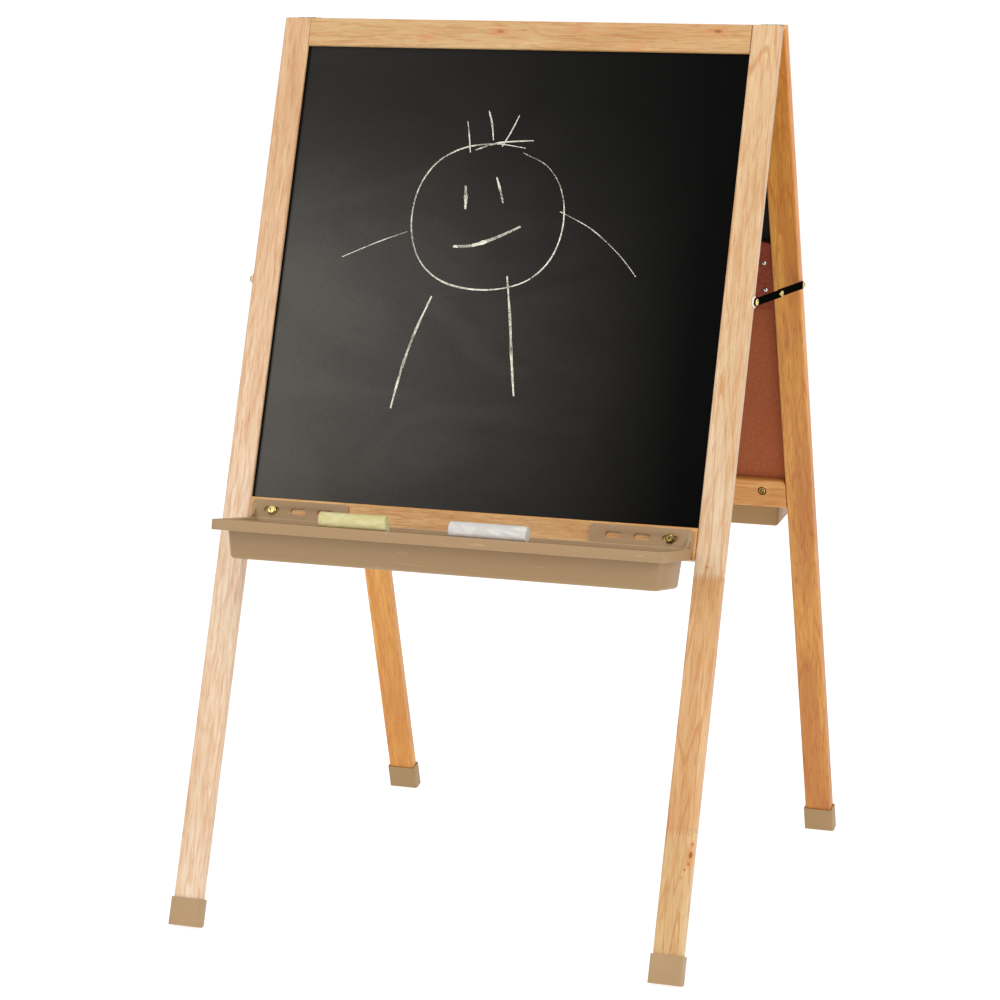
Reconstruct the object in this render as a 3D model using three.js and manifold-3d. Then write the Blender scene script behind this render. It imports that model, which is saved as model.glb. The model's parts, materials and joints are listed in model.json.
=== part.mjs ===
// Double-sided wooden easel for children: two framed boards hinged at the top, each with a
// moulded tray, held open by a folding steel stay on each side.
// Millimetres, +Z up. X runs along the boards and -Y is the chalkboard side.
// The origin is on the floor, midway between the feet.
import * as THREE from "three";
import { mergeVertices } from "three/addons/utils/BufferGeometryUtils.js";
import Module from "manifold-3d";

const wasm = await Module();
wasm.setup();

// ---- Driving dimensions -------------------------------------------------------------------------
const FIT_GAP = 0.3; // between pieces that touch or seat in each other
const RUN_GAP = 0.25; // between a turning hole and its pin
const OVERCUT = 1; // how far a cutter runs past a face
const TINY = 0.01; // keeps a half-round end from closing to a point

// Frames
const LEAN = THREE.MathUtils.degToRad(18); // each frame from the vertical when the stays are straight
const FRAME_WIDTH = 640;
const LEG_WIDTH = 35;
const LEG_THICKNESS = 15.5;
const LEG_LENGTH = 1130;
const WOOD_EDGE = 2.2; // eased edge radius
const TOP_RAIL_HEIGHT = 35.5;
const BOARD_HEIGHT = 571.5; // in sight between the rails
const BOTTOM_RAIL_HEIGHT = 38.5;
const RAIL_END_RADIUS = 6;
const TENON_THICKNESS = 7;
const TENON_SHOULDER = 7;
const BOARD_RECESS = 4;
const CHALKBOARD_THICKNESS = 4;
const DRY_BOARD_THICKNESS = 3;
const GROOVE_DEPTH = 6;
const SLAT_TOP = 278; // from the top of the frame
const SLAT_HEIGHT = 90;
const SLAT_THICKNESS = 6;
const SLAT_CORNER = 5;
const SLAT_SCREW_INSET = 10;
const SLAT_SCREW_EDGE = 27;
const SLAT_SCREW_HEAD = 2.6;
const SLAT_SCREW_SHANK = 1.2;

// Boots
const BOOT_HEIGHT = 34;
const BOOT_WALL = 1.8;
const BOOT_BASE = 4;
const BOOT_CORNER = 2.4; // upright corners, outside
const SOLE_FLAT = 7; // the strip that lies on the floor

// Top hinges
const HALF_GAP = 2.7; // half the space between the closed frames
const HINGE_RISE = 0.6; // hinge pin above the leg ends
const LEAF_WIDTH = 24;
const LEAF_REACH = 14.5;
const LEAF_THICKNESS = 1.2;
const LEAF_FROM_SIDE = 4; // from the outer side of the leg
const KNUCKLE_RADIUS = 2.3;
const HINGE_PIN_RADIUS = 1.1;
const HINGE_SCREW_PITCH = 13;
const HINGE_SCREW_HEAD = 2.9;
const HINGE_SCREW_SHANK = 1.3;
const HINGE_SCREW_LENGTH = 18;
const HINGE_SCREW_OUT = 9.6; // from the pin
const HINGE_PIN_HEAD_RADIUS = 1.8;
const HINGE_PIN_HEAD = 0.7;

// Stays
const STAY_DOWN = 334.5; // pivots, from the top of the frame
const STAY_WIDTH = 9.6;
const STAY_THICKNESS = 1.5;
const WASHER_RADIUS = 7.2;
const WASHER_THICKNESS = 1.6;
const STAY_SCREW_SHANK = 2.2;
const STAY_SCREW_HEAD = 3.8;
const STAY_SCREW_HEAD_HEIGHT = 2.1;
const STAY_SCREW_LENGTH = 20;
const RIVET_RADIUS = 3.4;
const RIVET_SHANK = 2.3;
const RIVET_HOLE = 1.4;
const RIVET_HEAD_HEIGHT = 1.2;
const RIVET_ROUND = 0.35;

// Trays
const TRAY_TILT = THREE.MathUtils.degToRad(10); // rim from square to the board
const TRAY_WIDTH = 562;
const TRAY_REACH = 114;
const TRAY_WALL = 2.2;
const TRAY_SKIRT = 12.5;
const TRAY_CORNER = 3;
const TRAY_BELOW_BOARD = 26; // rim under the board's lower edge
const TUB_DEPTH = 47;
const TUB_MOUTH = { halfWidth: 272, back: 0, front: 91, corner: 4.8 };
const TUB_FLOOR = { halfWidth: 268, back: 2, front: 84, corner: 4.8 };
const TUB_FLOOR_EDGE = 4;
const TUB_LEAST_CORNER = 1.5; // on the inside
const TAB_WIDTH = 127;
const TAB_TOP_DROP = 3; // tab's top under the board's lower edge
const TAB_CORNER = 5;
const SLOT_LENGTH = 21;
const SLOT_HEIGHT = 7.4;
const SLOT_PITCH = 34.8;
const SLOT_FROM_END = 27.4;
const SLOT_BELOW_BOARD = 15.5;
const GUSSET_REACH = 15;
const GUSSET_TOP_DROP = 1; // under the tab's top
const GUSSET_FROM_END = 4.4;
const GUSSET_SCOOP = 0.22; // how far its hollow front edge stays from the corner, as a share
const CHALK_BED_OUT = 102; // channel's centre, from the back of the rim
const CHALK_BED_SINK = 1.8;
const CHALK_BED_THICKNESS = 4.6;
const CHALK_BED_WIDTH = 16;
const CHALK_BED_END = 6; // channel's end inside the bed's end

// Tray bolts and sleeve nuts
const BOLT_HEAD_RADIUS = 5.7;
const BOLT_HEAD_HEIGHT = 2.6;
const BOLT_SOCKET = 2.1;
const BOLT_SHANK = 2.9;
const NUT_HEAD_RADIUS = 4.2;
const NUT_HEAD_HEIGHT = 1.4;
const NUT_SLEEVE_RADIUS = 3.9;
const NUT_SLEEVE_LENGTH = 7;
const NUT_RECESS_RADIUS = 5.9;
const NUT_RECESS_DEPTH = 2.6;
const NUT_SOCKET_DEPTH = 2.4;
const NUT_CHAMFER = 0.4;

// Chalk
const CHALK_RADIUS = 9.5;
const CHALK_EDGE = 0.8;
const YELLOW_CHALK = { x: -102, length: 85 };
const WHITE_CHALK = { x: 66, length: 95 };

// ---- Sizes that follow --------------------------------------------------------------------------
const TOP_Z = -HINGE_RISE; // of the legs, in a frame whose origin is the hinge pin
const INNER_Y = -HALF_GAP; // a frame's face towards the other frame
const FACE_Y = INNER_Y - LEG_THICKNESS; // its face with the board and tray
const INNER_X = FRAME_WIDTH / 2 - LEG_WIDTH;
const LEG_X = FRAME_WIDTH / 2 - LEG_WIDTH / 2;
const BOARD_TOP_Z = TOP_Z - TOP_RAIL_HEIGHT;
const BOARD_LOW_Z = BOARD_TOP_Z - BOARD_HEIGHT;
const BOARD_Y = FACE_Y + BOARD_RECESS;
const BOOT_END_Z = TOP_Z - LEG_LENGTH - FIT_GAP - BOOT_BASE;
const BOOT_INNER_Y = INNER_Y + FIT_GAP + BOOT_WALL;
const SOLE_CUT = SOLE_FLAT * Math.sin(LEAN) * Math.cos(LEAN);
const PIVOT_Z = -BOOT_END_Z * Math.cos(LEAN) + BOOT_INNER_Y * Math.sin(LEAN) - SOLE_CUT;
const STAY_Z = TOP_Z - STAY_DOWN;
const LEG_MID_Y = INNER_Y - LEG_THICKNESS / 2;
const STAY_HALF_SPAN = -LEG_MID_Y * Math.cos(LEAN) - STAY_Z * Math.sin(LEAN);
const OUTER_X = FRAME_WIDTH / 2;
const WASHER_X = OUTER_X + FIT_GAP;
const INNER_LINK_X = OUTER_X + FIT_GAP;
const OUTER_LINK_X = WASHER_X + WASHER_THICKNESS + FIT_GAP;
const HINGE_X = OUTER_X - LEAF_FROM_SIDE - LEAF_WIDTH / 2;
const INNER_HINGE_SCREW_X = HINGE_X - HINGE_SCREW_PITCH / 2;
const TENON_END_X = INNER_HINGE_SCREW_X - HINGE_SCREW_SHANK - 3 * FIT_GAP; // stops short of the screws
const TENON_LENGTH = TENON_END_X - INNER_X;
const TRAY_BACK_Y = FACE_Y - FIT_GAP;
const TRAY_RIM_Z = BOARD_LOW_Z - TRAY_BELOW_BOARD;
const SLOT_Z = BOARD_LOW_Z - SLOT_BELOW_BOARD;
const BOLT_X = TRAY_WIDTH / 2 - SLOT_FROM_END;

// ---- Materials ----------------------------------------------------------------------------------
function finish(color, roughness, metalness = 0) {
  return new THREE.MeshStandardMaterial({ color, roughness, metalness });
}

const PALE_WOOD = finish(0xdfb98a, 0.55);
const HONEY_WOOD = finish(0xcf9a5f, 0.55);
const BLACKBOARD = finish(0x191918, 0.8);
const WHITEBOARD = finish(0xf2f2ee, 0.2);
const HARDBOARD = finish(0x7d4a30, 0.85);
const TAN_PLASTIC = finish(0xb89a78, 0.5);
const BRASS = finish(0xb9a45a, 0.35, 1);
const BLACK_STEEL = finish(0x16160f, 0.45, 0.6);
const ZINC = finish(0x8f9078, 0.4, 1);
const NYLON = finish(0xe6dccb, 0.5);
const YELLOW = finish(0xd9d3a0, 0.95);
const WHITE = finish(0xe0dcd8, 0.95);

// ---- Solids -------------------------------------------------------------------------------------
function toSolid(geometry) {
  const bare = geometry.clone();
  bare.deleteAttribute("normal");
  bare.deleteAttribute("uv");
  const merged = mergeVertices(bare, 1e-4);
  const triVerts = new Uint32Array(merged.index.array);
  const vertProperties = new Float32Array(merged.attributes.position.array);
  return new wasm.Manifold(new wasm.Mesh({ numProp: 3, vertProperties, triVerts }));
}

function toGeometry(solid) {
  const mesh = solid.getMesh();
  const geometry = new THREE.BufferGeometry();
  geometry.setAttribute("position", new THREE.BufferAttribute(mesh.vertProperties, 3));
  geometry.setIndex(new THREE.BufferAttribute(mesh.triVerts, 1));
  const flat = geometry.toNonIndexed();
  flat.computeVertexNormals();
  return flat;
}

const common = (a, b) => toGeometry(toSolid(a).intersect(toSolid(b)));

function join(...geometries) {
  return toGeometry(geometries.map(toSolid).reduce((a, b) => a.add(b)));
}

function cut(body, ...tools) {
  return toGeometry(tools.map(toSolid).reduce((a, b) => a.subtract(b), toSolid(body)));
}

function box(x0, x1, y0, y1, z0, z1) {
  const geometry = new THREE.BoxGeometry(x1 - x0, y1 - y0, z1 - z0);
  return geometry.translate((x0 + x1) / 2, (y0 + y1) / 2, (z0 + z1) / 2);
}

// A rectangle about (0, 0) with one radius for its upper corners and one for its lower ones.
function roundedRectangle(width, height, upper, lower = upper) {
  const x = width / 2;
  const y = height / 2;
  const shape = new THREE.Shape();
  shape.moveTo(-x + lower, -y);
  shape.lineTo(x - lower, -y);
  if (lower > 0) shape.absarc(x - lower, -y + lower, lower, -Math.PI / 2, 0);
  shape.lineTo(x, y - upper);
  if (upper > 0) shape.absarc(x - upper, y - upper, upper, 0, Math.PI / 2);
  shape.lineTo(-x + upper, y);
  if (upper > 0) shape.absarc(-x + upper, y - upper, upper, Math.PI / 2, Math.PI);
  shape.lineTo(-x, -y + lower);
  if (lower > 0) shape.absarc(-x + lower, -y + lower, lower, Math.PI, 1.5 * Math.PI);
  return shape;
}

// Extruded along +Z from z0 to z1.
function prism(shape, z0, z1, curveSegments = 4) {
  const settings = { depth: z1 - z0, bevelEnabled: false, curveSegments };
  return new THREE.ExtrudeGeometry(shape, settings).translate(0, 0, z0);
}

// The same, with the shape standing in XZ and its thickness along Y.
const upright = (shape, y0, y1) => prism(shape, -y1, -y0).rotateX(Math.PI / 2);

// A round piece from [radius, height] points, turned about Z.
function turned(points, segments = 12) {
  const profile = points.map(([radius, height]) => new THREE.Vector2(radius, height));
  return new THREE.LatheGeometry(profile, segments).rotateX(Math.PI / 2);
}

function rod(radius, z0, z1, segments = 12) {
  return turned([[0, z0], [radius, z0], [radius, z1], [0, z1]], segments);
}

const alongX = (geometry) => geometry.rotateY(Math.PI / 2);
const alongMinusX = (geometry) => geometry.rotateY(-Math.PI / 2);
const alongY = (geometry) => geometry.rotateX(-Math.PI / 2);
const alongMinusY = (geometry) => geometry.rotateX(Math.PI / 2);

// What was drawn in XY with its thickness along Z stands in YZ with its thickness along X.
const TO_YZ = new THREE.Matrix4().makeBasis(
  new THREE.Vector3(0, 1, 0),
  new THREE.Vector3(0, 0, 1),
  new THREE.Vector3(1, 0, 0),
);

function piece(group, name, geometry, material) {
  const mesh = new THREE.Mesh(geometry, material);
  mesh.name = name;
  group.add(mesh);
  return mesh;
}

// ---- Frame pieces, in a frame whose origin is the hinge pin and whose board faces -Y --------------
const sideOf = (sign, turnedRound) => (sign * (turnedRound ? -1 : 1) > 0 ? "right" : "left");

function boardBox(thickness, gap) {
  const reach = INNER_X + GROOVE_DEPTH - (gap > 0 ? 0 : FIT_GAP);
  const lap = GROOVE_DEPTH - (gap > 0 ? 0 : FIT_GAP);
  return box(
    -reach, reach, BOARD_Y - gap, BOARD_Y + thickness + gap,
    BOARD_LOW_Z - lap, BOARD_TOP_Z + lap,
  );
}

function tenon(sign, zLow, zHigh, gap) {
  const y = LEG_MID_Y;
  const half = TENON_THICKNESS / 2 + gap;
  const shape = roundedRectangle(TENON_LENGTH + OVERCUT + gap, zHigh - zLow + 2 * gap, 0);
  const middle = INNER_X + (TENON_LENGTH - OVERCUT + gap) / 2;
  return upright(shape, y - half, y + half).translate(sign * middle, 0, (zLow + zHigh) / 2);
}

const TOP_TENON = [BOARD_TOP_Z + GROOVE_DEPTH + OVERCUT, TOP_Z - TENON_SHOULDER];
const LOW_TENON = [BOARD_LOW_Z - BOTTOM_RAIL_HEIGHT + TENON_SHOULDER, BOARD_LOW_Z - GROOVE_DEPTH - OVERCUT];

function leg(sign, boardThickness) {
  const section = roundedRectangle(LEG_WIDTH, LEG_THICKNESS, WOOD_EDGE);
  const timber = prism(section, TOP_Z - LEG_LENGTH, TOP_Z, 3).translate(sign * LEG_X, LEG_MID_Y, 0);
  const tools = [
    boardBox(boardThickness, FIT_GAP),
    tenon(sign, ...TOP_TENON, FIT_GAP),
    tenon(sign, ...LOW_TENON, FIT_GAP),
  ];
  const outward = sign > 0 ? alongX : alongMinusX;
  const stayHole = outward(rod(STAY_SCREW_SHANK + FIT_GAP, -STAY_SCREW_LENGTH - FIT_GAP, OVERCUT));
  tools.push(stayHole.translate(sign * OUTER_X, LEG_MID_Y, STAY_Z));
  for (const x of hingeScrewPlaces(sign)) {
    const depth = TOP_Z - HINGE_SCREW_LENGTH - FIT_GAP;
    const hole = rod(HINGE_SCREW_SHANK + FIT_GAP, depth, TOP_Z + OVERCUT, 8);
    tools.push(hole.translate(x, -HINGE_SCREW_OUT, 0));
  }
  return cut(timber, ...tools);
}

function topRail(boardThickness) {
  const width = 2 * (INNER_X - FIT_GAP);
  const section = roundedRectangle(TOP_RAIL_HEIGHT, LEG_THICKNESS, WOOD_EDGE);
  const timber = alongX(prism(section, -width / 2, width / 2, 3));
  timber.translate(0, LEG_MID_Y, TOP_Z - TOP_RAIL_HEIGHT / 2);
  const whole = join(timber, tenon(1, ...TOP_TENON, 0), tenon(-1, ...TOP_TENON, 0));
  return cut(whole, boardBox(boardThickness, FIT_GAP));
}

function bottomRail(boardThickness, roundedUp) {
  const width = 2 * (INNER_X - FIT_GAP);
  const upper = roundedUp ? RAIL_END_RADIUS : 0;
  const outline = roundedRectangle(width, BOTTOM_RAIL_HEIGHT, upper, RAIL_END_RADIUS - upper);
  const middleZ = BOARD_LOW_Z - BOTTOM_RAIL_HEIGHT / 2;
  const front = upright(outline, FACE_Y, INNER_Y).translate(0, 0, middleZ);
  const section = roundedRectangle(BOTTOM_RAIL_HEIGHT, LEG_THICKNESS, WOOD_EDGE);
  const eased = alongX(prism(section, -width, width, 3)).translate(0, LEG_MID_Y, middleZ);
  const whole = join(common(front, eased), tenon(1, ...LOW_TENON, 0), tenon(-1, ...LOW_TENON, 0));
  const tools = [boardBox(boardThickness, FIT_GAP)];
  for (const x of [-BOLT_X, BOLT_X]) {
    const inner = NUT_SLEEVE_LENGTH + NUT_HEAD_HEIGHT + NUT_RECESS_DEPTH;
    const bore = turned([
      [0, -LEG_THICKNESS - OVERCUT],
      [BOLT_SHANK + FIT_GAP, -LEG_THICKNESS - OVERCUT],
      [BOLT_SHANK + FIT_GAP, -inner],
      [NUT_SLEEVE_RADIUS + FIT_GAP, -inner],
      [NUT_SLEEVE_RADIUS + FIT_GAP, -NUT_RECESS_DEPTH],
      [NUT_RECESS_RADIUS, -NUT_RECESS_DEPTH],
      [NUT_RECESS_RADIUS, OVERCUT],
      [0, OVERCUT],
    ], 14);
    tools.push(alongY(bore).translate(x, INNER_Y, SLOT_Z));
  }
  return cut(whole, ...tools);
}

// ---- Brown batten across the inside of the dry-erase board ---------------------------------------
const SLAT_SCREW_PLACES = [-1, 1].flatMap((sign) =>
  [SLAT_SCREW_EDGE, SLAT_HEIGHT - SLAT_SCREW_EDGE].map((down) => [
    sign * (INNER_X - SLAT_SCREW_INSET),
    TOP_Z - SLAT_TOP - down,
  ]),
);
const SLAT_BACK_Y = BOARD_Y + DRY_BOARD_THICKNESS + FIT_GAP;
const SLAT_FACE_Y = SLAT_BACK_Y + SLAT_THICKNESS;

// A countersunk wood screw standing in +Z with its head's top at 0; grown by a gap it is its own hole.
function countersunk(head, shank, length, gap = 0) {
  const neck = head - shank;
  const top = gap > 0 ? OVERCUT : 0;
  const profile = [[0, -length - gap], [shank + gap, -length - gap], [shank + gap, -neck - gap]];
  profile.push([head + gap, -gap]);
  if (gap > 0) profile.push([head + gap, top]);
  profile.push([0, top]);
  return turned(profile, 10);
}

function slat() {
  const width = 2 * (INNER_X - FIT_GAP);
  const outline = roundedRectangle(width, SLAT_HEIGHT, SLAT_CORNER);
  const plank = upright(outline, SLAT_BACK_Y, SLAT_FACE_Y);
  plank.translate(0, 0, TOP_Z - SLAT_TOP - SLAT_HEIGHT / 2);
  const holes = SLAT_SCREW_PLACES.map(([x, z]) => slatScrew(FIT_GAP).translate(x, SLAT_FACE_Y, z));
  return cut(plank, ...holes);
}

const slatScrew = (gap = 0) =>
  alongY(countersunk(SLAT_SCREW_HEAD, SLAT_SCREW_SHANK, SLAT_THICKNESS - FIT_GAP, gap));

function addSlat(side) {
  piece(side, "rear_slat", slat(), HARDBOARD);
  SLAT_SCREW_PLACES.forEach(([x, z], i) => {
    piece(side, `rear_slat_screw_${i + 1}`, slatScrew().translate(x, SLAT_FACE_Y, z), ZINC);
  });
}

// ---- Boots ---------------------------------------------------------------------------------------
function boot(sign) {
  const gap = FIT_GAP;
  const skin = gap + BOOT_WALL;
  const outer = roundedRectangle(LEG_WIDTH + 2 * skin, LEG_THICKNESS + 2 * skin, BOOT_CORNER);
  const pocket = roundedRectangle(LEG_WIDTH + 2 * gap, LEG_THICKNESS + 2 * gap, WOOD_EDGE);
  const body = prism(outer, BOOT_END_Z, BOOT_END_Z + BOOT_HEIGHT, 3).translate(sign * LEG_X, LEG_MID_Y, 0);
  const hollow = prism(pocket, BOOT_END_Z + BOOT_BASE, BOOT_END_Z + BOOT_HEIGHT + OVERCUT, 3);
  hollow.translate(sign * LEG_X, LEG_MID_Y, 0);
  const floor = box(-OUTER_X * 2, OUTER_X * 2, -LEG_LENGTH, LEG_LENGTH, -BOOT_HEIGHT, 0);
  floor.translate(0, 0, -PIVOT_Z).rotateX(LEAN);
  return cut(body, hollow, floor);
}

// ---- Tray ----------------------------------------------------------------------------------------
// The tub's outside, or its inside when a wall is given: a tapered box with round corners.
function tub(wall) {
  const layers = [];
  const ring = (at, corner, down) => {
    const width = 2 * (at.halfWidth - wall);
    const depth = at.front - at.back - 2 * wall;
    const middle = -(at.front + at.back) / 2;
    return { width, depth, middle, corner: Math.max(corner - wall, TUB_LEAST_CORNER), down };
  };
  const floorEdge = Math.max(TUB_FLOOR_EDGE - wall, TUB_LEAST_CORNER);
  const floorDown = TUB_DEPTH - wall;
  const share = (floorDown - floorEdge) / TUB_DEPTH;
  const mix = (key) => THREE.MathUtils.lerp(TUB_MOUTH[key], TUB_FLOOR[key], share);
  const near = { halfWidth: mix("halfWidth"), back: mix("back"), front: mix("front") };
  layers.push(ring(TUB_MOUTH, TUB_MOUTH.corner, wall > 0 ? -OVERCUT : TRAY_WALL / 2));
  layers.push(ring(near, TUB_FLOOR.corner, floorDown - floorEdge));
  for (const turn of [Math.PI / 4, Math.PI / 2]) {
    const inset = floorEdge * (1 - Math.cos(turn));
    const drop = floorEdge * Math.sin(turn);
    const at = { halfWidth: near.halfWidth - inset, back: near.back + inset, front: near.front - inset };
    layers.push(ring(at, TUB_FLOOR.corner, floorDown - floorEdge + drop));
  }
  return lofted(layers.reverse());
}

// A closed skin over rounded rectangles, from the lowest to the highest.
function lofted(layers) {
  const outlines = layers.map(({ width, depth, corner, middle, down }) => {
    const points = roundedRectangle(width, depth, corner).extractPoints(3).shape;
    const ring = points.filter((point, i) => i === 0 || point.distanceTo(points[i - 1]) > 1e-6);
    if (ring[0].distanceTo(ring[ring.length - 1]) < 1e-6) ring.pop();
    return ring.map((point) => [point.x, point.y + middle, -down]);
  });
  const count = outlines[0].length;
  const positions = outlines.flat(2);
  const index = [];
  for (let layer = 0; layer < outlines.length - 1; layer++) {
    for (let i = 0; i < count; i++) {
      const a = layer * count + i;
      const b = layer * count + ((i + 1) % count);
      index.push(a, b, a + count, b, b + count, a + count);
    }
  }
  const top = (outlines.length - 1) * count;
  for (let i = 1; i < count - 1; i++) {
    index.push(0, i + 1, i);
    index.push(top, top + i, top + i + 1);
  }
  const geometry = new THREE.BufferGeometry();
  geometry.setAttribute("position", new THREE.Float32BufferAttribute(positions, 3));
  geometry.setIndex(index);
  return geometry;
}

function trayTab(sign) {
  const rise = TRAY_BELOW_BOARD - TAB_TOP_DROP;
  const foot = TRAY_SKIRT / 2;
  const height = rise + foot;
  const outline = roundedRectangle(TAB_WIDTH, height, TAB_CORNER, 0);
  const middleX = (sign * (TRAY_WIDTH - TAB_WIDTH)) / 2;
  const plate = upright(outline, TRAY_BACK_Y - TRAY_WALL, TRAY_BACK_Y);
  plate.translate(middleX, 0, TRAY_RIM_Z - foot + height / 2);
  const slotShape = roundedRectangle(SLOT_LENGTH, SLOT_HEIGHT, SLOT_HEIGHT / 2 - TINY);
  const slots = [0, 1, 2].map((i) => {
    const slot = upright(slotShape, TRAY_BACK_Y - TRAY_WALL - OVERCUT, TRAY_BACK_Y + OVERCUT);
    return slot.translate(sign * (BOLT_X - i * SLOT_PITCH), 0, SLOT_Z);
  });
  return cut(plate, ...slots);
}

function trayGusset(sign) {
  const rise = TRAY_BELOW_BOARD - TAB_TOP_DROP - GUSSET_TOP_DROP;
  const shape = new THREE.Shape();
  shape.moveTo(0, rise);
  shape.lineTo(0, -TRAY_WALL);
  shape.lineTo(-GUSSET_REACH, -TRAY_WALL - GUSSET_REACH * Math.tan(TRAY_TILT));
  shape.quadraticCurveTo(-GUSSET_REACH * GUSSET_SCOOP, rise * GUSSET_SCOOP, 0, rise);
  const rib = prism(shape, -TRAY_WALL / 2, TRAY_WALL / 2, 4);
  const x = sign * (TRAY_WIDTH / 2 - GUSSET_FROM_END);
  return rib.applyMatrix4(TO_YZ).translate(x, TRAY_BACK_Y - TRAY_WALL / 2, TRAY_RIM_Z);
}

// From a tray lying flat, its rim at height 0 and its back at y = 0, to where it hangs on the rail.
function toTrayPlace(geometry) {
  return geometry.rotateX(TRAY_TILT).translate(0, TRAY_BACK_Y - TRAY_WALL, TRAY_RIM_Z);
}

function tray() {
  const rimShape = roundedRectangle(TRAY_WIDTH, TRAY_REACH, 0, TRAY_CORNER);
  const rim = prism(rimShape, -TRAY_SKIRT, 0).translate(0, -TRAY_REACH / 2, 0);
  const inside = roundedRectangle(TRAY_WIDTH - 2 * TRAY_WALL, TRAY_REACH - 2 * TRAY_WALL, 0, 1);
  const underside = prism(inside, -TRAY_SKIRT - OVERCUT, -TRAY_WALL).translate(0, -TRAY_REACH / 2, 0);
  const bedHalf = TUB_MOUTH.halfWidth;
  const bedY = -CHALK_BED_OUT;
  const side = CHALK_BED_WIDTH / 2;
  const bed = box(-bedHalf, bedHalf, bedY - side, bedY + side, -CHALK_BED_THICKNESS, -TRAY_WALL / 2);
  const channelRadius = CHALK_RADIUS + FIT_GAP;
  const channelHalf = bedHalf - CHALK_BED_END;
  const channel = alongX(rod(channelRadius, -channelHalf, channelHalf, 24));
  channel.translate(0, bedY, channelRadius - CHALK_BED_SINK);
  const shell = join(cut(rim, underside), bed, tub(0));
  const open = cut(shell, tub(TRAY_WALL), channel);
  const low = TRAY_RIM_Z - TRAY_SKIRT;
  const backStrip = box(
    -TRAY_WIDTH / 2, TRAY_WIDTH / 2, TRAY_BACK_Y - TRAY_WALL, TRAY_BACK_Y, low, TRAY_RIM_Z,
  );
  const whole = join(toTrayPlace(open), backStrip, trayTab(1), trayTab(-1), trayGusset(1), trayGusset(-1));
  const railSpace = box(
    -FRAME_WIDTH, FRAME_WIDTH, TRAY_BACK_Y, INNER_Y,
    BOARD_LOW_Z - BOTTOM_RAIL_HEIGHT - FIT_GAP, BOARD_LOW_Z,
  );
  return cut(whole, railSpace);
}

function trayBolt(sign) {
  const seat = FIT_GAP;
  const sleeveDepth = NUT_RECESS_DEPTH + NUT_HEAD_HEIGHT + NUT_SLEEVE_LENGTH;
  const length = TRAY_WALL + FIT_GAP + LEG_THICKNESS - sleeveDepth;
  const head = turned([
    [0, -length],
    [BOLT_SHANK, -length],
    [BOLT_SHANK, seat],
    [BOLT_HEAD_RADIUS, seat],
    [BOLT_HEAD_RADIUS, seat + BOLT_HEAD_HEIGHT * 0.45],
    [BOLT_HEAD_RADIUS * 0.86, seat + BOLT_HEAD_HEIGHT * 0.85],
    [BOLT_HEAD_RADIUS * 0.6, seat + BOLT_HEAD_HEIGHT],
    [0, seat + BOLT_HEAD_HEIGHT],
  ], 16);
  const socket = rod(BOLT_SOCKET, seat + BOLT_HEAD_HEIGHT * 0.3, seat + BOLT_HEAD_HEIGHT + OVERCUT, 6);
  const bolt = alongMinusY(cut(head, socket));
  return bolt.translate(sign * BOLT_X, TRAY_BACK_Y - TRAY_WALL, SLOT_Z);
}

function sleeveNut(sign) {
  const sleeve = NUT_HEAD_HEIGHT + NUT_SLEEVE_LENGTH - FIT_GAP;
  const body = turned([
    [0, -sleeve],
    [NUT_SLEEVE_RADIUS, -sleeve],
    [NUT_SLEEVE_RADIUS, -NUT_HEAD_HEIGHT],
    [NUT_HEAD_RADIUS, -NUT_HEAD_HEIGHT + FIT_GAP],
    [NUT_HEAD_RADIUS, -NUT_CHAMFER],
    [NUT_HEAD_RADIUS - NUT_CHAMFER, 0],
    [0, 0],
  ], 14);
  const socket = rod(BOLT_SOCKET, -NUT_SOCKET_DEPTH, OVERCUT, 6);
  const nut = alongY(cut(body, socket));
  return nut.translate(sign * BOLT_X, INNER_Y - NUT_RECESS_DEPTH + NUT_HEAD_HEIGHT, SLOT_Z);
}

// ---- Top hinges, across the leg ends -------------------------------------------------------------
const hingeScrewPlaces = (sign) => [-1, 1].map((end) => sign * HINGE_X + (end * HINGE_SCREW_PITCH) / 2);
const KNUCKLE_LENGTH = LEAF_WIDTH / 3;

function leaf(sign, middleKnuckle) {
  const x = sign * HINGE_X;
  const low = TOP_Z + FIT_GAP;
  const high = low + LEAF_THICKNESS;
  const plate = box(x - LEAF_WIDTH / 2, x + LEAF_WIDTH / 2, -LEAF_REACH, 0, low, high);
  const barrel = alongX(rod(KNUCKLE_RADIUS, -LEAF_WIDTH / 2, LEAF_WIDTH / 2, 14)).translate(x, 0, 0);
  const space = KNUCKLE_RADIUS + FIT_GAP;
  const half = KNUCKLE_LENGTH / 2;
  const tools = [alongX(rod(HINGE_PIN_RADIUS + RUN_GAP, -LEAF_WIDTH, LEAF_WIDTH)).translate(x, 0, 0)];
  if (middleKnuckle) {
    for (const end of [-1, 1]) {
      const near = x + end * (half - RUN_GAP / 2);
      const far = x + end * LEAF_WIDTH;
      tools.push(box(Math.min(near, far), Math.max(near, far), -space, space, -space, space));
    }
  } else {
    tools.push(box(x - half - RUN_GAP / 2, x + half + RUN_GAP / 2, -space, space, -space, space));
  }
  for (const place of hingeScrewPlaces(sign)) tools.push(hingeScrew(place, high, FIT_GAP));
  return cut(join(plate, barrel), ...tools);
}

function hingeScrew(x, top, gap = 0) {
  const length = HINGE_SCREW_LENGTH;
  return countersunk(HINGE_SCREW_HEAD, HINGE_SCREW_SHANK, length, gap).translate(x, -HINGE_SCREW_OUT, top);
}

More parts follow.
